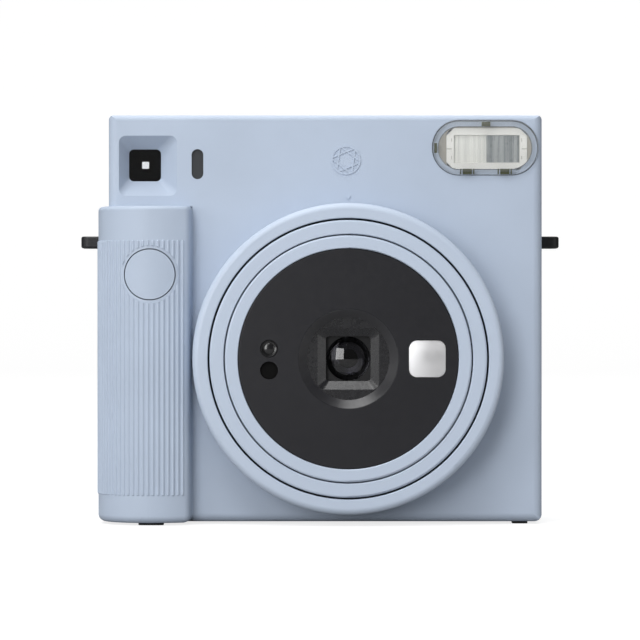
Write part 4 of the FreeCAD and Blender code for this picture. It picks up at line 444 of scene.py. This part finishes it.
sensor_low, sensor_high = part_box("light_sensors")
sensor_x = (sensor_low.x + sensor_high.x) / 2
sensor_radius = (sensor_high.x - sensor_low.x) / 2
upper_z, lower_z = sensor_high.z - sensor_radius, sensor_low.z + sensor_radius
UPPER_DEPTH = 0.35 * MM
UPPER_RIM = 0.5 * MM
UPPER_DOME = 0.25 * MM


def recessed_disc(radius, depth, rim, dome):
    """A rim, a groove inside it and a dome in the middle, as a profile that ends at the axis."""
    groove = radius - rim
    inner = groove * 0.72
    profile = [(radius, depth + 1.6 * MM), (radius, depth + 0.15 * MM), (radius - 0.12 * MM, depth),
               (groove + 0.1 * MM, depth), (groove, depth + 0.12 * MM),
               (groove - 0.05 * MM, depth + 0.7 * MM), (inner + 0.05 * MM, depth + 0.75 * MM),
               (inner, depth + 0.35 * MM)]
    steps = 8
    for k in range(1, steps + 1):
        angle = math.radians(90 * k / steps)
        profile.append((inner * math.cos(angle), depth + 0.35 * MM - dome * math.sin(angle)))
    return profile


upper_profile = recessed_disc(sensor_radius, panel_face + UPPER_DEPTH, UPPER_RIM, UPPER_DOME)
upper_cell = lathe("light_sensor_upper", upper_profile, sensor_x, upper_z, polished_black, "inner_stage",
                   steps=64, closed=False, smooth_angle=30)
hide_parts("light_sensors")
lathe("light_sensor_lower", [(sensor_radius, panel_face + 2.2 * MM), (sensor_radius, panel_face + 0.9 * MM),
                             (sensor_radius - 0.15 * MM, panel_face + 0.75 * MM), (0, panel_face + 0.7 * MM)],
      sensor_x, lower_z, deep_black, "inner_stage", steps=64, closed=False)


# ---------------------------------------------------------------- viewfinder

finder = middle("viewfinder_front_lens")
eye_low, eye_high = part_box("viewfinder_eyepiece")
window_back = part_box("viewfinder_front_lens")[1].y


def square_funnel(name, sections, material, drift=(0, 0)):
    """A four-sided tube of (depth, side, corner radius) sections, leaning by drift per metre."""
    start = sections[0][0]
    outlines = []
    for y, side, radius in sections:
        x, z = finder.x + drift[0] * (y - start), finder.z + drift[1] * (y - start)
        outlines.append((y, rounded_rect(x, z, side, side, radius)))
    return loft(name, outlines, material, "camera_body")


# Depth behind the front glass, side and corner radius, in millimetres.
BAFFLE_STEPS = ((0.3, 9.3, 1.3), (3.2, 6.6, 1.0), (3.4, 6.2, 0.9), (7.5, 4.2, 0.6), (7.7, 3.8, 0.5),
                (12.0, 2.05, 0.15), (12.6, 2.6, 0.15), (12.7, 8.0, 1.3))
BAFFLE_DRIFT = (-0.045, 0.055)
square_funnel("viewfinder_baffle",
              [(window_back + y * MM, side * MM, corner * MM) for y, side, corner in BAFFLE_STEPS],
              tunnel_black, drift=BAFFLE_DRIFT)
EYE_FRAME = 12.0 * MM
EYE_OPENING = 7.0 * MM
eye_frame = square_funnel("viewfinder_eyepiece_frame",
                          [(eye_low.y, EYE_FRAME, 1.5 * MM), (eye_high.y - 0.35 * MM, EYE_FRAME, 1.5 * MM),
                           (eye_high.y - 0.1 * MM, EYE_FRAME - 0.25 * MM, 1.4 * MM),
                           (eye_high.y, EYE_FRAME - 0.8 * MM, 1.3 * MM),
                           (eye_high.y - 0.05 * MM, EYE_OPENING + 1.6 * MM, 1.5 * MM),
                           (eye_high.y - 0.9 * MM, EYE_OPENING + 0.3 * MM, 1.3 * MM),
                           (eye_high.y - 1.2 * MM, EYE_OPENING, 1.2 * MM), (eye_low.y, EYE_OPENING, 1.2 * MM),
                           (eye_low.y, EYE_FRAME, 1.5 * MM)], black)
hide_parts("viewfinder_eyepiece")
# Depth behind the frame's front, and how much smaller than the opening, in millimetres.
EYE_LENS_STEPS = ((0.7, 0.1), (1.7, 0.1), (1.9, 0.6))
EYE_LENS_CORNER = 1.15 * MM
eye_lens_sections = []
for depth, trim in EYE_LENS_STEPS:
    side = EYE_OPENING - trim * MM
    eye_lens_sections.append((eye_low.y + depth * MM,
                              rounded_rect(finder.x, finder.z, side, side, EYE_LENS_CORNER)))
loft("viewfinder_eyepiece_lens", eye_lens_sections, optical, "camera_body", cap_first=True,
     cap_last=True)


# ---------------------------------------------------------------- flash

flash = middle("flash_window")
flash_low, flash_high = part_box("flash_window")
housing_low, housing_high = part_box("flash_reflector")
housing = (housing_low + housing_high) / 2
frame_width, frame_height = housing_high.x - housing_low.x, housing_high.z - housing_low.z
plate_y = flash_high.y + 0.05 * MM
outer_size = (flash_high.x - flash_low.x, flash_high.z - flash_low.z)


def flat_ring(name, y, thick, outer, inner, material):
    """A flat ring between two outlines with the same number of points."""
    sections = [(y, outer), (y, inner), (y + thick, inner), (y + thick, outer)]
    return loft(name, sections, material, "camera_body", wrap=True)


OUTLINE_STEPS = 16
RIM_TRIM = 0.1 * MM
RIM_CORNER = 7.85 * MM
FRAME_FIT = 0.1 * MM
FRAME_CORNER = 2.6 * MM


def window_outline(trim_width, trim_height, corner):
    """The flash window's outline, made smaller by so much in width and height."""
    return rounded_rect(flash.x, flash.z, outer_size[0] - trim_width, outer_size[1] - trim_height, corner,
                        steps=OUTLINE_STEPS)


rim_outline = window_outline(RIM_TRIM, RIM_TRIM, RIM_CORNER)
stadium = window_outline(3.8 * MM, 3.6 * MM, 6.1 * MM)
frame_edge = rounded_rect(housing.x, housing.z, frame_width + FRAME_FIT, frame_height + FRAME_FIT,
                          FRAME_CORNER, steps=OUTLINE_STEPS)
flat_ring("flash_rim_backing", plate_y, 0.3 * MM, rim_outline, stadium, pale_rim)
# The two thin dark rings are painted shade along the window's outer and inner edges.
line_y = plate_y - 0.03 * MM
RIM_LINE = 0.4 * MM
RIM_LINES = (("flash_rim_painted_shade_outer", RIM_TRIM, RIM_CORNER), ("flash_rim_painted_shade_inner", 3.4 * MM, 6.3 * MM))
for name, trim, corner in RIM_LINES:
    outer, inner = (window_outline(trim + step, trim + step, corner - step / 2) for step in (0, RIM_LINE))
    flat_ring(name, line_y, 0.1 * MM, outer, inner, rim_painted_shade)
flat_ring("flash_end_plates", plate_y + 0.02 * MM, 0.3 * MM, stadium, frame_edge, warm_grey)

PRISM_PITCH = 0.6 * MM
PRISM_RISE = 0.22 * MM
PRISM_THICK = 0.5 * MM
PRISM_HALF_WIDTH = 9.6 * MM
PRISM_HALF_HEIGHT = 4.15 * MM
prism_left, prism_right = housing.x - PRISM_HALF_WIDTH, housing.x + PRISM_HALF_WIDTH
prism_low, prism_high = housing.z - PRISM_HALF_HEIGHT, housing.z + PRISM_HALF_HEIGHT
prism_y = housing_low.y + 0.9 * MM


def prism_half(name, left, right, lean, material):
    """Half of the ribbed diffuser, with ridges that lean outwards."""
    bm = bmesh.new()
    count = round((right - left) / PRISM_PITCH)
    pitch = (right - left) / count
    columns = []
    for k in range(count):
        start = left + k * pitch
        columns += [(start, prism_y), (start + pitch * lean, prism_y - PRISM_RISE)]
    columns += [(right, prism_y), (right, prism_y + PRISM_THICK), (left, prism_y + PRISM_THICK)]
    lower = [bm.verts.new((x, y, prism_low)) for x, y in columns]
    upper = [bm.verts.new((x, y, prism_high)) for x, y in columns]
    skin(bm, lower, upper)
    bm.faces.new(lower[::-1])
    bm.faces.new(upper)
    finish_mesh(name, mesh_from(bm, name), material, "camera_body", smooth_angle=15)


# The right half uses the darker reflector colour, which is painted shade.
prism_half("flash_diffuser_left", prism_left, housing.x, 0.88, pearl)
prism_half("flash_diffuser_right", housing.x, prism_right, 0.12, pearl_painted_shade)

slit_y = housing_low.y - 0.06 * MM
SLIT_LENGTH = 1.5 * MM
SLIT_HALF = 0.1 * MM
SLIT_DEPTH = 0.3 * MM
NOTCH_OFFSET = 2.6 * MM
NOTCH_HALF_WIDTH = 0.08 * MM
NOTCH_HALF_HEIGHT = 0.5 * MM
slits = []
for edge, side in ((housing_low.x, 1), (housing_high.x, -1)):
    inner_end = edge + side * SLIT_LENGTH
    slits.append(((min(edge, inner_end), slit_y, housing.z - SLIT_HALF),
                  (max(edge, inner_end), slit_y + SLIT_DEPTH, housing.z + SLIT_HALF)))
    for level in (-NOTCH_OFFSET, NOTCH_OFFSET):
        middle_z = housing.z + level
        slits.append(((inner_end - NOTCH_HALF_WIDTH, slit_y, middle_z - NOTCH_HALF_HEIGHT),
                      (inner_end + NOTCH_HALF_WIDTH, slit_y + SLIT_DEPTH, middle_z + NOTCH_HALF_HEIGHT)))
blocks("flash_frame_slits", slits, warm_grey, "camera_body", bevel=0.00003)


CLIP_SINK = 0.35 * MM
CLIP_THICK = 1.0 * MM
PEG_GAP = 0.55 * MM
PEG_HALF = 0.2 * MM
CLIP_CENTRE = 48.6 * MM
LOWER_CLIP_SPREAD = 5.5 * MM


def clip(x, z, width, height, pegs=False):
    """One snap tab of the flash window, which may have a narrow peg at each side."""
    y = flash_low.y + CLIP_SINK
    back = y + CLIP_THICK
    half_w, half_h = width / 2, height / 2
    boxes = [((x - half_w, y, z - half_h), (x + half_w, back, z + half_h))]
    if pegs:
        for side in (-1, 1):
            peg = x + side * (half_w + PEG_GAP)
            boxes.append(((peg - PEG_HALF, y, z - half_h), (peg + PEG_HALF, back, z + half_h)))
    return boxes


clips = clip(CLIP_CENTRE, flash_high.z - 1.25 * MM, 2.6 * MM, 1.3 * MM)
for side in (-1, 1):
    clip_x = CLIP_CENTRE + side * LOWER_CLIP_SPREAD
    clips += clip(clip_x, flash_low.z + 1.05 * MM, 2.7 * MM, 1.6 * MM, pegs=True)
clips += clip(flash_low.x + 1.0 * MM, flash.z - 0.15 * MM, 0.9 * MM, 2.9 * MM)
blocks("flash_window_clips", clips, olive, "camera_body", bevel=0.00012)


# ---------------------------------------------------------------- button springs

LEAF_THICK = 0.25 * MM
LEAF_WIDTH = 1.3 * MM
BEND_DROP = 2.0 * MM
spring_low, spring_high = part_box("shutter_button_spring")


def leaf_springs():
    """Two folded leaf springs behind the button, bent from flat strip."""
    foot, tip = spring_high.y, spring_low.y
    base, crest = spring_low.z, spring_high.z
    bend = (base + crest) / 2 - BEND_DROP
    line = [(foot, base), (foot, base + 0.6 * (crest - base)), (foot, crest - 0.5 * MM),
            (foot - 0.5 * MM, crest - 0.1 * MM), (tip + 1.2 * MM, bend + 1.2 * MM),
            (tip + 0.3 * MM, bend + 0.1 * MM), (tip, bend - 0.2 * MM)]
    bm = bmesh.new()
    for left in (spring_low.x, spring_high.x - LEAF_WIDTH):
        right = left + LEAF_WIDTH
        rows = []
        for index, (y, z) in enumerate(line):
            before, after = line[max(index - 1, 0)], line[min(index + 1, len(line) - 1)]
            run = Vector((after[0] - before[0], after[1] - before[1])).normalized()
            inward = Vector((-run.y, run.x)) * LEAF_THICK
            rows.append([bm.verts.new((x, y + inward.x * depth, z + inward.y * depth))
                         for x, depth in ((left, 0), (right, 0), (right, 1), (left, 1))])
        for first, second in zip(rows, rows[1:]):
            skin(bm, first, second)
        bm.faces.new(rows[0][::-1])
        bm.faces.new(rows[-1])
    mesh = mesh_from(bm, "button_leaf_springs")
    return finish_mesh("button_leaf_springs", mesh, steel, "camera_body")


leaves = leaf_springs()
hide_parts("shutter_button_spring")
depth = spring_high.y - spring_low.y
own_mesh(leaves)


# ---------------------------------------------------------------- studio

def area_light(name, place, aim, size, power):
    """A soft rectangular light: its width and height in metres, and watts."""
    data = bpy.data.lights.new(name, "AREA")
    data.shape = "RECTANGLE"
    data.size, data.size_y = size
    data.energy = power
    light = bpy.data.objects.new(name, data)
    scene.collection.objects.link(light)
    light.location = place
    light.rotation_euler = (Vector(aim) - Vector(place)).to_track_quat("-Z", "Y").to_euler()


def math_node(tree, operation, first, second):
    """A math node over two outputs or numbers."""
    node = tree.nodes.new("ShaderNodeMath")
    node.operation = operation
    for socket, value in zip(node.inputs, (first, second)):
        if isinstance(value, (int, float)):
            socket.default_value = value
        else:
            tree.links.new(value, socket)
    return node.outputs["Value"]


def seen_straight(tree):
    """1 for what is seen directly or through glass alone, 0 after a bounce."""
    path = tree.nodes.new("ShaderNodeLightPath").outputs
    bounces = math_node(tree, "ADD", path["Glossy Depth"], path["Diffuse Depth"])
    straight = math_node(tree, "MAXIMUM", path["Is Camera Ray"], path["Is Transmission Ray"])
    return math_node(tree, "MULTIPLY", straight, math_node(tree, "LESS_THAN", bounces, 0.5))


def reflected_only(tree):
    """1 for what is seen by reflection alone."""
    path = tree.nodes.new("ShaderNodeLightPath").outputs
    mirrored = math_node(tree, "GREATER_THAN", path["Glossy Depth"], 0.5)
    return math_node(tree, "MULTIPLY", mirrored, math_node(tree, "LESS_THAN", path["Diffuse Depth"], 0.5))


CAMERA_DISTANCE = 1.01575
CAMERA_HEIGHT = 0.05984
FOCAL_LENGTH = 192
SENSOR_WIDTH = 36
camera_data = bpy.data.cameras.new("Camera")
camera_data.lens = FOCAL_LENGTH
camera_data.sensor_width = SENSOR_WIDTH
camera_data.clip_start = 0.05
camera = bpy.data.objects.new("Camera", camera_data)
scene.collection.objects.link(camera)
camera.location = (0, -CAMERA_DISTANCE, CAMERA_HEIGHT)
camera.rotation_euler = (math.radians(90), 0, 0)
scene.camera = camera
scene.view_settings.view_transform = "Standard"

SURROUND_LIGHT = 0.36
MIRRORED_LIGHT = 0.12
world = bpy.data.worlds.new("Studio")
scene.world = world
world.use_nodes = True
nodes, links = world.node_tree.nodes, world.node_tree.links
surround = nodes["Background"]
surround.inputs["Color"].default_value = (1, 1, 1, 1)
surround.inputs["Strength"].default_value = SURROUND_LIGHT
backdrop = nodes.new("ShaderNodeBackground")
backdrop.inputs["Color"].default_value = (1, 1, 1, 1)
backdrop.inputs["Strength"].default_value = 1.0
dim = nodes.new("ShaderNodeBackground")
dim.inputs["Strength"].default_value = MIRRORED_LIGHT
after_gloss = nodes.new("ShaderNodeMixShader")
links.new(reflected_only(world.node_tree), after_gloss.inputs["Fac"])
links.new(surround.outputs["Background"], after_gloss.inputs[1])
links.new(dim.outputs["Background"], after_gloss.inputs[2])
mix = nodes.new("ShaderNodeMixShader")
links.new(seen_straight(world.node_tree), mix.inputs["Fac"])
links.new(after_gloss.outputs["Shader"], mix.inputs[1])
links.new(backdrop.outputs["Background"], mix.inputs[2])
links.new(mix.outputs["Shader"], nodes["World Output"].inputs["Surface"])

# Name, place, aim, size and watts.
LIGHTS = (
    ("FrontStrip", (-0.42, -1.0, 0.12), (0, 0, 0.06), (0.42, 0.95), 7.0),
    ("HighKey", (-0.32, -0.70, 1.00), (0, 0, 0.06), (0.8, 0.5), 5.8),
    ("Overhead", (-0.2, -0.02, 1.15), (0, 0, 0.05), (1.3, 0.7), 9.0),
    ("LeftSide", (-1.05, -0.62, 0.32), (0, 0, 0.06), (0.55, 0.6), 2.2),
    ("RightSide", (1.0, -0.75, 0.25), (0, 0, 0.05), (0.6, 0.5), 1.3),
    ("RearFill", (0.25, 0.80, 0.85), (0, 0, 0.06), (0.9, 0.6), 5.0),
)
for light_values in LIGHTS:
    area_light(*light_values)

# The backdrop stands well behind the farthest place that a view of the back is taken from.
FLOOR_REACH = 4.0
SWEEP_START = 3.0
SWEEP_RADIUS = 1.0
SWEEP_STEPS = 12
BACKDROP_TOP = 3.5
profile = [(-FLOOR_REACH, 0.0)]
for step in range(SWEEP_STEPS + 1):
    angle = math.radians(90 * step / SWEEP_STEPS)
    profile.append((SWEEP_START + SWEEP_RADIUS * math.sin(angle), SWEEP_RADIUS * (1 - math.cos(angle))))
profile.append((SWEEP_START + SWEEP_RADIUS, BACKDROP_TOP))
floor_mesh = bpy.data.meshes.new("Floor")
floor_mesh.from_pydata([(side * FLOOR_REACH, y, z) for y, z in profile for side in (-1, 1)], [],
                       [(2 * i, 2 * i + 1, 2 * i + 3, 2 * i + 2) for i in range(len(profile) - 1)])
floor_mesh.shade_smooth()
floor = bpy.data.objects.new("Floor", floor_mesh)
scene.collection.objects.link(floor)
paper = new_material("floor_paper", (0.30, 0.30, 0.30), 0.8, specular=0.0)
shader_of(paper).inputs["Emission Color"].default_value = (1, 1, 1, 1)
# The paper is brighter away from the object, where less light reaches it.
NEAR_GLOW, FAR_GLOW = 0.78, 0.90
GLOW_START, GLOW_END = 0.5, 1.5
from_middle = add_node(paper, "ShaderNodeVectorMath")
from_middle.operation = "LENGTH"
link(paper, texture_space(paper), from_middle.inputs["Vector"])
glow = spread(paper, from_middle.outputs["Value"], NEAR_GLOW, FAR_GLOW, GLOW_START, GLOW_END)
link(paper, math_node(paper.node_tree, "MULTIPLY", seen_straight(paper.node_tree), glow),
     shader_of(paper).inputs["Emission Strength"])
floor_mesh.materials.append(paper)
